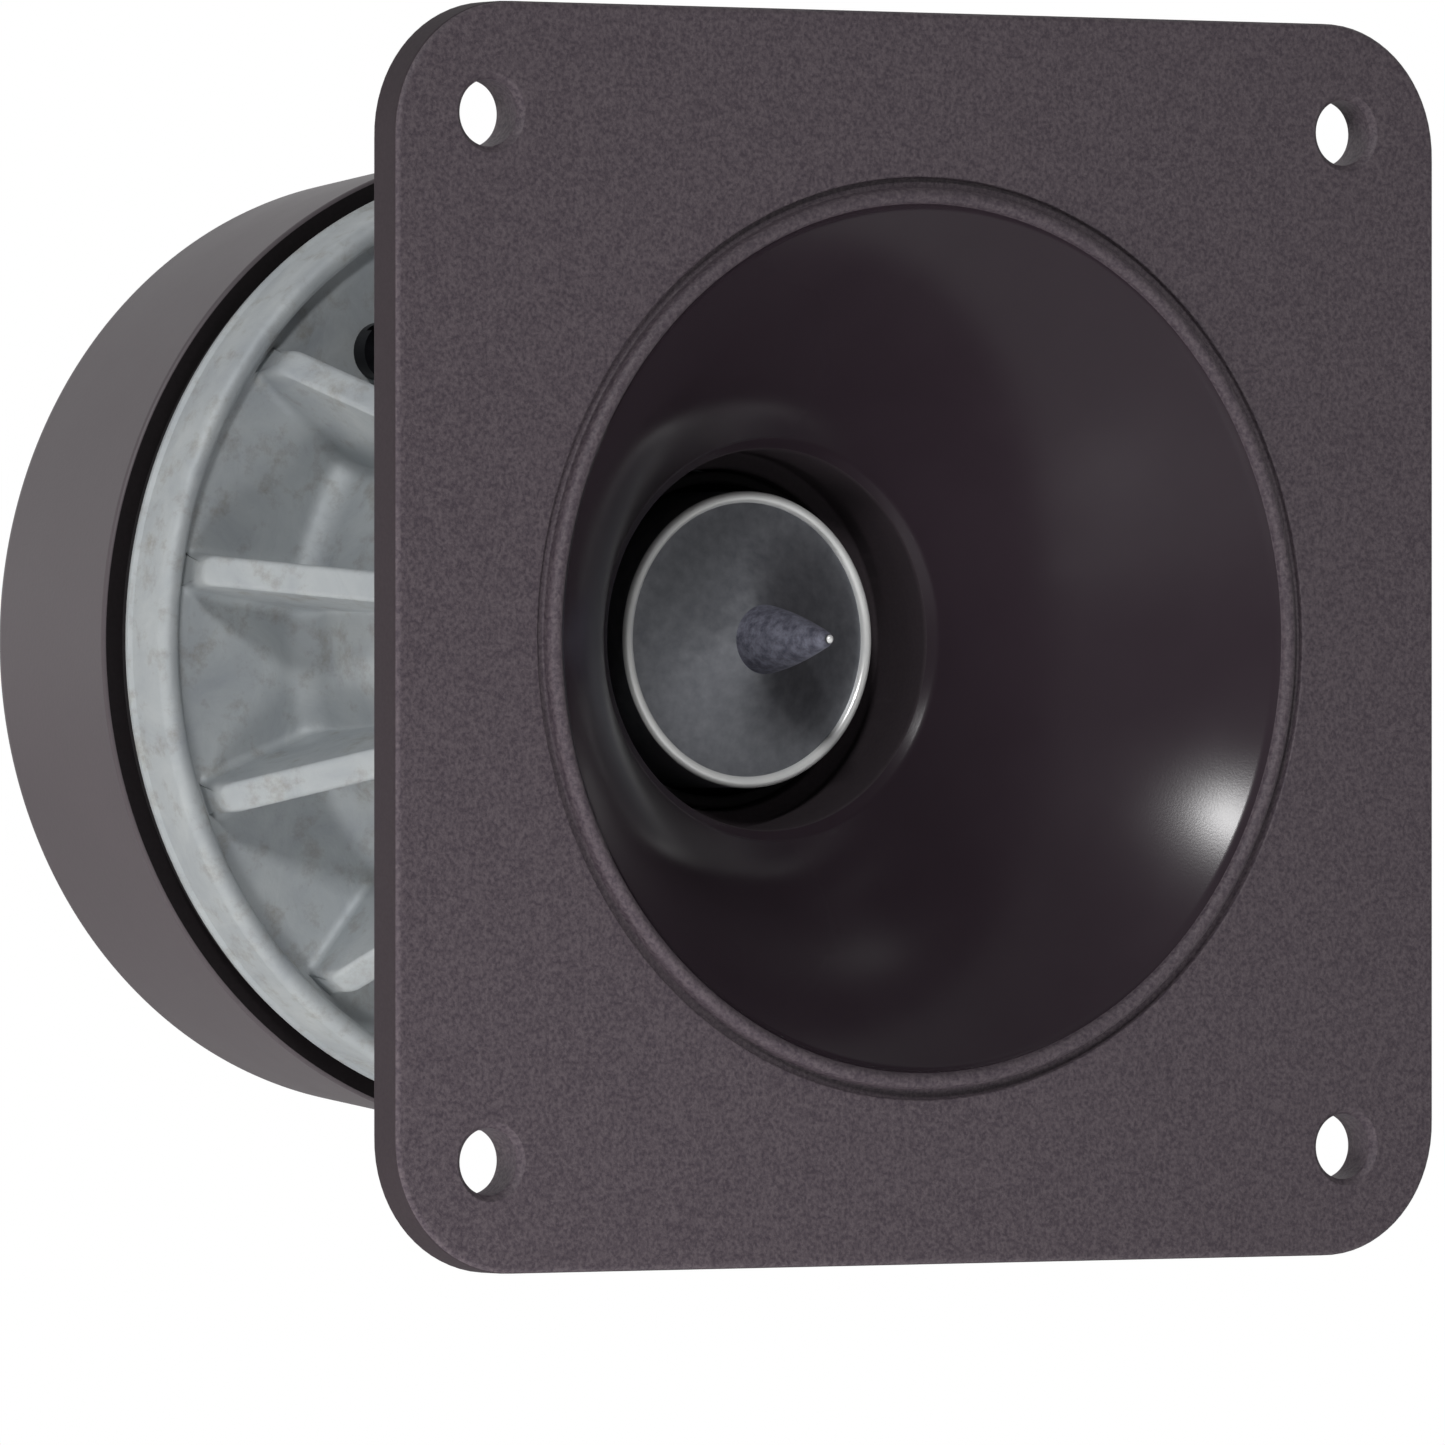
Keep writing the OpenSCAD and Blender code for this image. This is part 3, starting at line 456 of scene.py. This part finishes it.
def across_rib(height, top_half, foot_half, edge_round, foot_round):
    """(offset from the middle plane, height) points down one side of a rib, with its round top
    edge, drafted side and hollow foot. The rounds shrink where the rib is low."""
    k = min(1.0, height / (edge_round + foot_round) * 0.98) if height > 0 else 0.0
    edge, foot = edge_round * k, foot_round * k
    side = [(top_half - edge_round + edge_round * math.sin(math.radians(a)),
             height - edge * (1 - math.cos(math.radians(a)))) for a in (0, 22, 45, 67, 90)]
    for t in (0.33, 0.67):
        side.append((top_half + (foot_half - top_half) * t, (height - edge) * (1 - t) + foot * t))
    side += [(foot_half + foot_round * (1 - math.cos(math.radians(a))),
              foot * (1 - math.sin(math.radians(a)))) for a in (0, 22, 45, 67, 90)]
    middle = [(0.0, height), ((top_half - edge_round) / 2, height)]
    return middle + side


def ribbed_ring(r, valley, crest, count, first_angle, rib_shape, bay_steps, outer=None):
    """Ring of points at one radius that rises from the valley's depth to the crest's on each rib.
    outer turns an angle into a radius where the ring isn't round."""
    side = across_rib(abs(valley - crest), *rib_shape)
    rise = math.copysign(1.0, crest - valley)
    half_sector = 180.0 / count
    ring = []
    for i in range(count):
        middle = first_angle + i * 2 * half_sector
        offsets = [(math.degrees(math.asin(v / r)), h) for v, h in side]
        last = offsets[-1][0]
        bay = [(last + (half_sector - last) * k / bay_steps, 0.0) for k in range(1, bay_steps)]
        right = offsets + bay
        walk = [(-a, h) for a, h in reversed(right[1:])] + right + [(half_sector, 0.0)]
        for a, h in walk:
            turn = math.radians(middle + a)
            here = r if outer is None else outer(turn)
            ring.append((here * math.cos(turn), valley + rise * h, here * math.sin(turn)))
    return ring


rib_slope = (rim_front - hub_front) / (rib_foot_r - rib_shoulder_r)


def rib_crest(r):
    """Depth of a rib's top edge: level with the hub's front, then sloping down to the rim."""
    past = r - rib_shoulder_r
    soft = 0.35
    return hub_front + rib_slope * (past + math.hypot(past, soft) - soft * 0.3) / 2


rib_shape = (rib_top_half, rib_foot_half, rib_edge_round, rib_foot_round)
rim_round = (rim_side_r - rim_in_r) / 2
rim_middle = (rim_in_r + rim_round, rim_front + rim_round)
hub_side = eased([
    (tube_hole_r, hub_front, 0), (12.4, hub_front, 0), (15.0, hub_front, 0), (17.2, hub_front, 0),
    (hub_r, hub_front, 0.35), (hub_base_r, web_depth - hub_fillet, 2.4),
    (hub_base_r + hub_fillet, web_depth, 1.6), (23.4, web_depth, 0)], closed=False, arc_steps=7)
# More points down the hub's side, so that the ribs' flanks are evenly divided.
long_run = max(range(len(hub_side) - 1),
               key=lambda i: math.dist(hub_side[i], hub_side[i + 1]) if hub_side[i][0] >= 18 else 0)
a, b = np.array(hub_side[long_run]), np.array(hub_side[long_run + 1])
hub_side[long_run + 1:long_run + 1] = [tuple(a + (b - a) * k / 12) for k in range(1, 12)]
web_run = [(r, web_depth) for r in np.linspace(24.1, rib_end_r - rib_end_round - 0.5, 10)]
rim_run = eased([(rib_end_r + 0.03, web_depth, 0), (rim_in_r, web_depth, 0.5),
                 (rim_in_r, rim_middle[1], 0)], closed=False, arc_steps=5)
rim_run += [(rim_middle[0] + rim_round * math.cos(math.radians(a)),
             rim_middle[1] + rim_round * math.sin(math.radians(a))) for a in range(192, 361, 12)]
back_run = rim_run + eased([
    (rim_side_r, 44.4, 0), (rim_side_r, rim_step, 0), (rim_out_r, rim_step + 0.25, 0.04),
    (rim_out_r, housing_back, 0.12), (31.0, housing_back, 0), (26.0, housing_back, 0),
    (seat_r, housing_back, 0.2), (seat_r, seat_depth, 0.15), (cavity_back_r, seat_depth, 0.3),
    (cavity_front_r, cavity_front, 1.0), (tube_hole_r, cavity_front, 0.2)], closed=False, arc_steps=4)
back_run.append((tube_hole_r, cavity_front - 1.5))
housing_rings = []
for r, d in hub_side + web_run:
    crest = min(d, rib_crest(r)) if r >= hub_r - 0.4 else d
    housing_rings.append(ribbed_ring(r, d, crest, rib_count, rib_first_angle, rib_shape, bay_steps))
for a in (0, 18, 36, 54, 72, 90):
    c, s = math.cos(math.radians(a)), math.sin(math.radians(a))
    narrow = rib_end_round * (1 - c)
    end_shape = (rib_top_half - narrow, rib_foot_half - narrow, rib_edge_round * max(c, 0.3),
                 rib_foot_round * max(c, 0.1))
    r = rib_end_r - rib_end_round * (1 - s)
    housing_rings.append(ribbed_ring(r, web_depth, rib_crest(r) + narrow, rib_count, rib_first_angle,
                                     end_shape, bay_steps))
for r, d in back_run:
    housing_rings.append(ribbed_ring(r, d, d, rib_count, rib_first_angle, rib_shape, bay_steps))
housing = skin("front_housing_casting", housing_rings)

# Die-cast aluminium: a cool grey metal with a dull skin, clouded and a little stained, with a
# fine orange peel.
cast_finish, tree, shader, place = start_material("die_cast_aluminium", Metallic=0.45)
flow = add(tree, "TexNoise", {"Vector": place, "Scale": 1 / (5.5 * MM), "Detail": 5.0, "Roughness": 0.62,
                              "Distortion": 0.6})
stain = add(tree, "TexNoise", {"Vector": place, "Scale": 1 / (2.4 * MM), "Detail": 6.0, "Roughness": 0.7})
skin_grain = add(tree, "TexNoise", {"Vector": place, "Scale": 1 / (0.45 * MM), "Detail": 3.0})
cool = blend_colours(tree, flow.outputs["Fac"], "#8a9097", "#bdc1c1")
stain_amount = add(tree, "MapRange", {"Value": stain.outputs["Fac"], "From Min": 0.52, "From Max": 0.74,
                                      "To Min": 0.0, "To Max": 0.55})
warm = add(tree, "Mix", {"Factor": stain_amount.outputs["Result"], 6: cool, 7: linear("#7a7263")},
           data_type="RGBA")
tree.links.new(warm.outputs[2], shader.inputs["Base Color"])
sheen = add(tree, "MapRange", {"Value": stain.outputs["Fac"], "To Min": 0.54, "To Max": 0.76})
tree.links.new(sheen.outputs["Result"], shader.inputs["Roughness"])
coarse = add(tree, "Bump", {"Height": flow.outputs["Fac"], "Strength": 0.35, "Distance": 0.35 * MM})
relief = add(tree, "Bump", {"Height": skin_grain.outputs["Fac"], "Strength": 0.3, "Distance": 0.05 * MM,
                            "Normal": coarse.outputs["Normal"]})
tree.links.new(relief.outputs["Normal"], shader.inputs["Normal"])
finish_mesh(housing, cast_finish)
stand_for(housing, "cast_aluminium", "front_housing")

# ---- Motor gasket ----
# A soft washer stamped from black rubber sheet, which shows as the dark line behind the rim.

rubber, tree, shader, place = start_material("black_sheet_rubber", Roughness=0.85, IOR=1.5)
grain = add(tree, "TexNoise", {"Vector": place, "Scale": 1 / (0.3 * MM), "Detail": 2.0})
tree.links.new(blend_colours(tree, grain.outputs["Fac"], "#141214", "#201d1f"), shader.inputs["Base Color"])
relief = add(tree, "Bump", {"Height": grain.outputs["Fac"], "Strength": 0.4, "Distance": 0.03 * MM})
tree.links.new(relief.outputs["Normal"], shader.inputs["Normal"])
paint(rubber, "motor_gasket", "horn_gasket")

# ---- Screws ----
# Slotted cheese-head screws in steel with a black oxide finish. Three hold the housing to the
# top plate, three hold the horn from inside the hub, and one holds the terminal block's foot.

black_steel, tree, shader, place = start_material("black_oxide_steel", Metallic=1.0)
wear = add(tree, "TexNoise", {"Vector": place, "Scale": 1 / (0.8 * MM), "Detail": 4.0})
tree.links.new(blend_colours(tree, wear.outputs["Fac"], "#161618", "#333338"), shader.inputs["Base Color"])
sheen = add(tree, "MapRange", {"Value": wear.outputs["Fac"], "To Min": 0.28, "To Max": 0.48})
tree.links.new(sheen.outputs["Result"], shader.inputs["Roughness"])
paint(black_steel, "horn_screws", "terminal_screw")


def bevelled_copy(name, node, width):
    """New piece on a CAD node's flat-sided shape, its corners eased by a bevel."""
    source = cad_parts[node]
    mesh = source.data.copy()
    mesh.name = name
    mesh.materials.clear()
    work = bmesh.new()
    work.from_mesh(mesh)
    bmesh.ops.remove_doubles(work, verts=work.verts, dist=0.002 * MM)
    bmesh.ops.dissolve_limit(work, angle_limit=math.radians(2), verts=work.verts, edges=work.edges)
    bmesh.ops.recalc_face_normals(work, faces=work.faces)
    work.to_mesh(mesh)
    work.free()
    if "custom_normal" in mesh.attributes:
        mesh.attributes.remove(mesh.attributes["custom_normal"])
    made = bpy.data.objects.new(name, mesh)
    bpy.context.scene.collection.objects.link(made)
    bevel = made.modifiers.new("eased_corners", "BEVEL")
    bevel.width = width * MM
    bevel.segments = 3
    bevel.limit_method = "ANGLE"
    bevel.angle_limit = math.radians(40)
    bevel.harden_normals = False
    return made


assembly_screws = bevelled_copy("assembly_screw_set", "assembly_screws", 0.14)
finish_mesh(assembly_screws, black_steel, crease=50)
stand_for(assembly_screws, "black_steel", "assembly_screws")

# ---- Terminals ----
# A block moulded in black nylon with two push-on blades stamped from brass strip. The positive
# one stays brass and the other is tinned. Copper strips run from them to the diaphragm.

nylon, tree, shader, place = start_material("moulded_black_nylon", Roughness=0.5, IOR=1.53)
grain = add(tree, "TexNoise", {"Vector": place, "Scale": 1 / (0.35 * MM), "Detail": 2.0})
tree.links.new(blend_colours(tree, grain.outputs["Fac"], "#19181b", "#262528"), shader.inputs["Base Color"])
relief = add(tree, "Bump", {"Height": grain.outputs["Fac"], "Strength": 0.3, "Distance": 0.03 * MM})
tree.links.new(relief.outputs["Normal"], shader.inputs["Normal"])
terminal_block = bevelled_copy("terminal_block_moulding", "terminal_block", 0.18)
finish_mesh(terminal_block, nylon, crease=50)
stand_for(terminal_block, "terminal_nylon", "terminal_block")

for finish, roughness, dark, light, name, slot, node in (
        ("rolled_brass_strip", 0.3, "#b38a35", "#d6b465",
         "terminal_blade_positive", "terminal_brass", "terminal_positive"),
        ("tin_plated_brass_strip", 0.32, "#b9bbb8", "#dadbd8",
         "terminal_blade_negative", "terminal_tin", "terminal_negative")):
    strip, tree, shader, place = start_material(finish, Metallic=1.0, Roughness=roughness)
    rolling = add(tree, "TexNoise", {"Vector": place, "Scale": 1 / (0.6 * MM), "Detail": 3.0})
    tree.links.new(blend_colours(tree, rolling.outputs["Fac"], dark, light), shader.inputs["Base Color"])
    blade = bevelled_copy(name, node, 0.12)
    finish_mesh(blade, strip, crease=50)
    stand_for(blade, slot, node)

# ---- Horn ----
# One injection moulding in charcoal ABS. The square flange has a spark-eroded grain, and the
# flare inside the bead is smooth and satin. Gussets brace the flange's back to the flare.

flange_half = 42.5
flange_corner_r = 9.0
flange_front = -3.0
flange_edge_round = 0.42
flange_back_round = 0.3
mouth_r = 29.5
flare_depth = 19.2
mouth_slope = 1.25
lip_slope = 0.64
lip_r = 13.7
lip_depth = 16.2
lip_round = 0.6
neck_r = 13.1
neck_floor = 22.6
horn_wall = 2.2
neck_out_r = 15.3
collar_r = 18.5
horn_back = 26.5
passage_r = 11.85
bead_middle_r = 30.05
bead_half = 0.55
groove_in_r = 30.6
groove_out_r = 31.3
groove_drop = 0.5
hole_at = 35.0
hole_r = 2.25
hole_chamfer = 0.4
hole_edge = 0.06
gusset_count = 8
gusset_first_angle = 22.5
gusset_shape = (0.86, 0.94, 0.2, 0.4)
gusset_foot_r = 35.1
gusset_top_r = 21.7
gusset_top = 8.0
horn_bay_steps = 26
flare_steps = 44
neck_front = 18.6       # where the neck's straight bore starts
back_rings = (31.6, 33.0, 34.2)         # rings on the flange's flat back, inside the gussets' feet
front_rings = (32.3, 31.75)             # rings on its flat front, outside the groove
outline_r = 36.0        # spreads the points of the square outline
flat_r = 33.6           # where the flange's front turns from square to round rings


def square_reach(turn, inset):
    """Distance from the axis to the edge of the round-cornered flange, in a direction."""
    c, s = abs(math.cos(turn)), abs(math.sin(turn))
    c, s = max(c, s), min(c, s)
    half, r = flange_half - inset, flange_corner_r - inset
    corner = half - r
    if half / c * s <= corner:
        return half / c
    along = corner * (c + s)
    return along + math.sqrt(max(0.0, along ** 2 - 2 * corner ** 2 + r ** 2))


def flare_curve(wall):
    """Section of the flare from the mouth to the lip, pushed outwards by a wall."""
    r0, r1 = mouth_r + wall, lip_r + wall
    out = []
    for i in range(flare_steps + 1):
        t = i / flare_steps
        h0, h1, h2 = 2 * t ** 3 - 3 * t ** 2 + 1, t ** 3 - 2 * t ** 2 + t, t ** 3 - t ** 2
        out.append((h0 * r0 + (1 - h0) * r1 - flare_depth * (h1 * mouth_slope + h2 * lip_slope),
                    flange_front + flare_depth * t))
    return out


# Horn finishes by number; the third is painted shade on the flange's edges and in the neck.
GRAINED, SATIN, PAINTED_SHADE = 0, 1, 2
horn_stations = []      # (radius, depth, share of the square outline, inset, finish)


def gusset_crest(r):
    """Depth of a gusset's back edge at a radius."""
    return gusset_top * min(1.0, max(0.0, (gusset_foot_r - r) / (gusset_foot_r - gusset_top_r)))


for r, d in flare_curve(0):
    horn_stations.append((r, d, 0, 0, SATIN))
# The lip's round and the neck's bore take the painted shade.
for a in (215, 203, 191, 180):
    horn_stations.append((lip_r + lip_round * math.cos(math.radians(a)),
                          lip_depth + lip_round + lip_round * math.sin(math.radians(a)), 0, 0, PAINTED_SHADE))
inner_neck = eased([(neck_r, neck_front, 0), (neck_r, neck_floor, 0.3), (passage_r, neck_floor, 0.25),
                    (passage_r, horn_back, 0.2), (collar_r, horn_back, 0.3),
                    (collar_r, neck_floor, 0.3), (neck_out_r, neck_floor - horn_wall, 1.2),
                    (neck_out_r, lip_depth + 0.9, 0.6)], closed=False, arc_steps=4)
horn_stations += [(r, d, 0, 0, PAINTED_SHADE if r < neck_out_r else SATIN) for r, d in inner_neck]
outside = [(r, d) for r, d in reversed(flare_curve(horn_wall)) if d > 0.25]
horn_stations += [(r, d, 0, 0, SATIN) for r, d in outside]
foot_r = outside[-1][0]
horn_stations += [(foot_r + 0.35, 0.08, 0, 0, SATIN), (foot_r + 0.8, 0.0, 0, 0, SATIN)]
horn_stations += [(r, 0.0, 0, 0, SATIN) for r in (*back_rings, gusset_foot_r, outline_r)]
horn_stations += [(outline_r, 0.0, s, 1.2, SATIN) for s in (0.35, 0.7, 1)]
# The flange's back round and the front round next to its side take the painted shade.
for a in (0, 22, 45, 67, 90):
    c, s = math.cos(math.radians(a)), math.sin(math.radians(a))
    horn_stations.append((outline_r, -flange_back_round * (1 - c), 1, flange_back_round * (1 - s), PAINTED_SHADE))
for a in (0, 15, 30, 45, 60, 75, 90):
    c, s = math.cos(math.radians(a)), math.sin(math.radians(a))
    horn_stations.append((outline_r, flange_front + flange_edge_round * (1 - s), 1,
                          flange_edge_round * (1 - c), PAINTED_SHADE if a < 30 else GRAINED))
horn_stations += [(flat_r, flange_front, s, 1.0, GRAINED) for s in (1, 0.75, 0.5, 0.25)]
horn_stations += [(r, flange_front, 0, 0, GRAINED) for r in (flat_r, *front_rings)]
groove_section = eased([
    (31.6, flange_front, 0), (groove_out_r, flange_front, 0.14),
    (groove_out_r, flange_front + groove_drop, 0.14),
    (groove_in_r, flange_front + groove_drop, 0.14), (groove_in_r, flange_front + 0.12, 0)],
    closed=False, arc_steps=4)
horn_stations += [(r, d, 0, 0, GRAINED) for r, d in groove_section]
for a in range(360, 181, -15):
    horn_stations.append((bead_middle_r + bead_half * math.cos(math.radians(a)),
                          flange_front + bead_half * math.sin(math.radians(a)), 0, 0, GRAINED))

horn_rings = []
for r, d, square, inset, _ in horn_stations:
    outer = None
    if square:
        outer = lambda turn, r=r, square=square, inset=inset: (
            r + (square_reach(turn, inset) - r) * square if square < 1 else square_reach(turn, inset))
    behind = d >= 0 and r > gusset_top_r - 2 and not square
    crest = max(d, gusset_crest(r)) if behind and gusset_crest(r) > d and r > 16 and d < 12 else d
    on_inside = len(horn_rings) <= flare_steps
    horn_rings.append(ribbed_ring(r, d, d if on_inside else crest, gusset_count,
                                  gusset_first_angle, gusset_shape, horn_bay_steps, outer))
horn = skin("horn_moulding", horn_rings, bands=[s[4] for s in horn_stations])

# The four fixing holes, cut with a chamfer at the front and eased edges.
hole_front_r = hole_r + hole_chamfer
hole_section = [
    (0, flange_front - 1.2), (hole_front_r + hole_edge, flange_front - 1.2),
    (hole_front_r + hole_edge, flange_front), (hole_front_r, flange_front + hole_edge / 2),
    (hole_r + hole_edge / 2, flange_front + hole_chamfer),
    (hole_r, flange_front + hole_chamfer + hole_edge),
    (hole_r, -2 * hole_edge), (hole_r + hole_edge, 0), (hole_r + hole_edge, 1.2), (0, 1.2)]


def cut(piece, tool):
    """Take one shape out of another for good."""
    step = piece.modifiers.new("cut", "BOOLEAN")
    step.operation, step.object, step.solver = "DIFFERENCE", tool, "EXACT"
    depsgraph = bpy.context.evaluated_depsgraph_get()
    result = bpy.data.meshes.new_from_object(piece.evaluated_get(depsgraph))
    piece.modifiers.clear()
    stale, piece.data = piece.data, result
    result.name = stale.name
    bpy.data.meshes.remove(stale)
    bpy.data.objects.remove(tool)


for x in (-hole_at, hole_at):
    for z in (-hole_at, hole_at):
        tool = spun("hole_tool", hole_section, 64, closed=False)
        tool.data.transform(Matrix.Translation((x * MM, 0, z * MM)))
        cut(horn, tool)

# Spark-grained ABS: charcoal with a violet cast, matt, covered by a fine raised grain. The
# grain of about 0.1 mm is drawn at 0.28 mm, so that it shows.
grained_abs, tree, shader, place = start_material("spark_grained_abs", Roughness=0.6, IOR=1.5)
grain = add(tree, "TexNoise", {"Vector": place, "Scale": 1 / (0.28 * MM), "Detail": 3.0, "Roughness": 0.7})
speck = add(tree, "MapRange", {"Value": grain.outputs["Fac"], "From Min": 0.36, "From Max": 0.64})
tree.links.new(blend_colours(tree, speck.outputs["Result"], "#3a3139", "#574e53"),
               shader.inputs["Base Color"])
relief = add(tree, "Bump", {"Height": grain.outputs["Fac"], "Strength": 0.9, "Distance": 0.07 * MM})
tree.links.new(relief.outputs["Normal"], shader.inputs["Normal"])

# Satin ABS: the same plastic from a smoother part of the mould, so it looks darker and shows
# soft highlights.
satin_abs, tree, shader, place = start_material("satin_moulded_abs", Specular_IOR_Level=0.24)
cloud = add(tree, "TexNoise", {"Vector": place, "Scale": 1 / (6 * MM), "Detail": 3.0})
fine = add(tree, "TexNoise", {"Vector": place, "Scale": 1 / (0.16 * MM), "Detail": 2.0})
tree.links.new(blend_colours(tree, cloud.outputs["Fac"], "#292127", "#2e262c"), shader.inputs["Base Color"])
sheen = add(tree, "MapRange", {"Value": cloud.outputs["Fac"], "To Min": 0.19, "To Max": 0.24})
tree.links.new(sheen.outputs["Result"], shader.inputs["Roughness"])
relief = add(tree, "Bump", {"Height": fine.outputs["Fac"], "Strength": 0.12, "Distance": 0.02 * MM})
tree.links.new(relief.outputs["Normal"], shader.inputs["Normal"])

# Flange's side and back edges, and the neck's lip and bore: the same plastic and grain, painted darker as
# shade, and dead matt.
painted_shade_abs, tree, shader, place = start_material("painted_shade_horn_edges_and_neck", Roughness=0.8, Specular_IOR_Level=0.25)
grain = add(tree, "TexNoise", {"Vector": place, "Scale": 1 / (0.28 * MM), "Detail": 3.0, "Roughness": 0.7})
tree.links.new(blend_colours(tree, grain.outputs["Fac"], "#282226", "#3a3337"), shader.inputs["Base Color"])

finish_mesh(horn, grained_abs, satin_abs, painted_shade_abs, crease=50)
stand_for(horn, "horn_abs", "horn")

# ---- Studio ----
# A pale plain floor well below the tweeter, one soft box high on the left, three weak fills low
# and left, and a bright plain surround that is darker above and on the camera's side.

floor_level = -350.0
floor_half = 3000.0
floor_mesh = bpy.data.meshes.new("studio_floor")
floor_corners = [(x * floor_half * MM, y * floor_half * MM, floor_level * MM)
                 for x, y in ((-1, -1), (1, -1), (1, 1), (-1, 1))]
floor_mesh.from_pydata(floor_corners, [], [(0, 1, 2, 3)])
floor = bpy.data.objects.new("studio_floor", floor_mesh)
bpy.context.scene.collection.objects.link(floor)
floor_paint, tree, shader, place = start_material("matt_white_floor", Roughness=0.9)
paper = add(tree, "TexNoise", {"Vector": place, "Scale": 3.0, "Detail": 2.0})
tree.links.new(blend_colours(tree, paper.outputs["Fac"], "#efefef", "#f4f4f4"), shader.inputs["Base Color"])
floor.data.materials.append(floor_paint)


def aim(thing, azimuth, elevation, distance, target):
    """Put a light or the camera at a bearing from a point, and turn it to face that point.
    Azimuth 0 is in front of the flange, and minus is to its left."""
    a, e = math.radians(azimuth), math.radians(elevation)
    back = Vector((math.sin(a) * math.cos(e), -math.cos(a) * math.cos(e), math.sin(e)))
    thing.location = Vector(target) + back * distance
    thing.rotation_mode = "QUATERNION"
    thing.rotation_quaternion = (-back).to_track_quat("-Z", "Y")


def soft_box(name, size, power, azimuth, elevation, distance, target=(0, 0, 0)):
    """Square area light aimed at the tweeter."""
    made = bpy.data.objects.new(name, bpy.data.lights.new(name, "AREA"))
    made.data.size = size
    made.data.energy = power
    bpy.context.scene.collection.objects.link(made)
    aim(made, azimuth, elevation, distance, target)
    return made


soft_box("key_soft_box", 0.16, 7.0, -38.0, 31.5, 1.25)
low_fill = soft_box("low_warm_fill", 0.3, 2.0, -96.0, -46.0, 0.5, (-0.02, 0.05, -0.02))
low_fill.data.color = (1.0, 0.92, 0.82)
corner_fill = soft_box("corner_bounce", 0.06, 0.3, -45.0, -45.0, 0.2, (-0.035, 0.0, -0.02))
side_fill = soft_box("left_side_fill", 0.5, 1.4, -84.0, -4.0, 1.0)
for fill in (low_fill, corner_fill, side_fill):
    fill.visible_glossy = False
    fill.visible_camera = False

world = bpy.data.worlds.new("studio_surround")
bpy.context.scene.world = world
world.use_nodes = True
tree = world.node_tree
direction = add(tree, "TexCoord").outputs["Generated"]
split = add(tree, "SeparateXYZ", {"Vector": direction})
behind = add(tree, "MapRange", {"Value": split.outputs["Y"], "From Min": -0.5, "From Max": 0.6,
                                "To Min": 0.22, "To Max": 1.0}, interpolation_type="SMOOTHSTEP")
above = add(tree, "MapRange", {"Value": split.outputs["Z"], "From Min": -0.1, "From Max": 0.9,
                               "To Min": 1.0, "To Max": 0.7})
room = add(tree, "Math", {0: behind.outputs["Result"], 1: above.outputs["Result"]}, operation="MULTIPLY")
seen = add(tree, "LightPath")
level = add(tree, "Mix", {"Factor": seen.outputs["Is Camera Ray"], 2: room.outputs[0], 3: 1.0})
tree.links.new(level.outputs[0], tree.nodes["Background"].inputs["Strength"])
tree.nodes["Background"].inputs["Color"].default_value = (1, 1, 1, 1)
bpy.context.scene.view_settings.view_transform = "Standard"

camera_azimuth = -33.987
camera_elevation = -0.253
camera_distance = 1.1079
camera_aim = (-0.01459, 0.0, -0.0057)
camera = bpy.data.objects.new("camera", bpy.data.cameras.new("camera"))
camera.data.lens = 405.7
camera.data.sensor_width = 36.0
camera.data.clip_start = 0.05
camera.data.clip_end = 60.0
bpy.context.scene.collection.objects.link(camera)
a, e = math.radians(camera_azimuth), math.radians(camera_elevation)
camera_bearing = Vector((math.sin(a) * math.cos(e), -math.cos(a) * math.cos(e), math.sin(e)))
camera.location = camera_bearing * camera_distance
camera.rotation_mode = "QUATERNION"
camera.rotation_quaternion = (Vector(camera_aim) - camera.location).to_track_quat("-Z", "Y")
bpy.context.scene.camera = camera
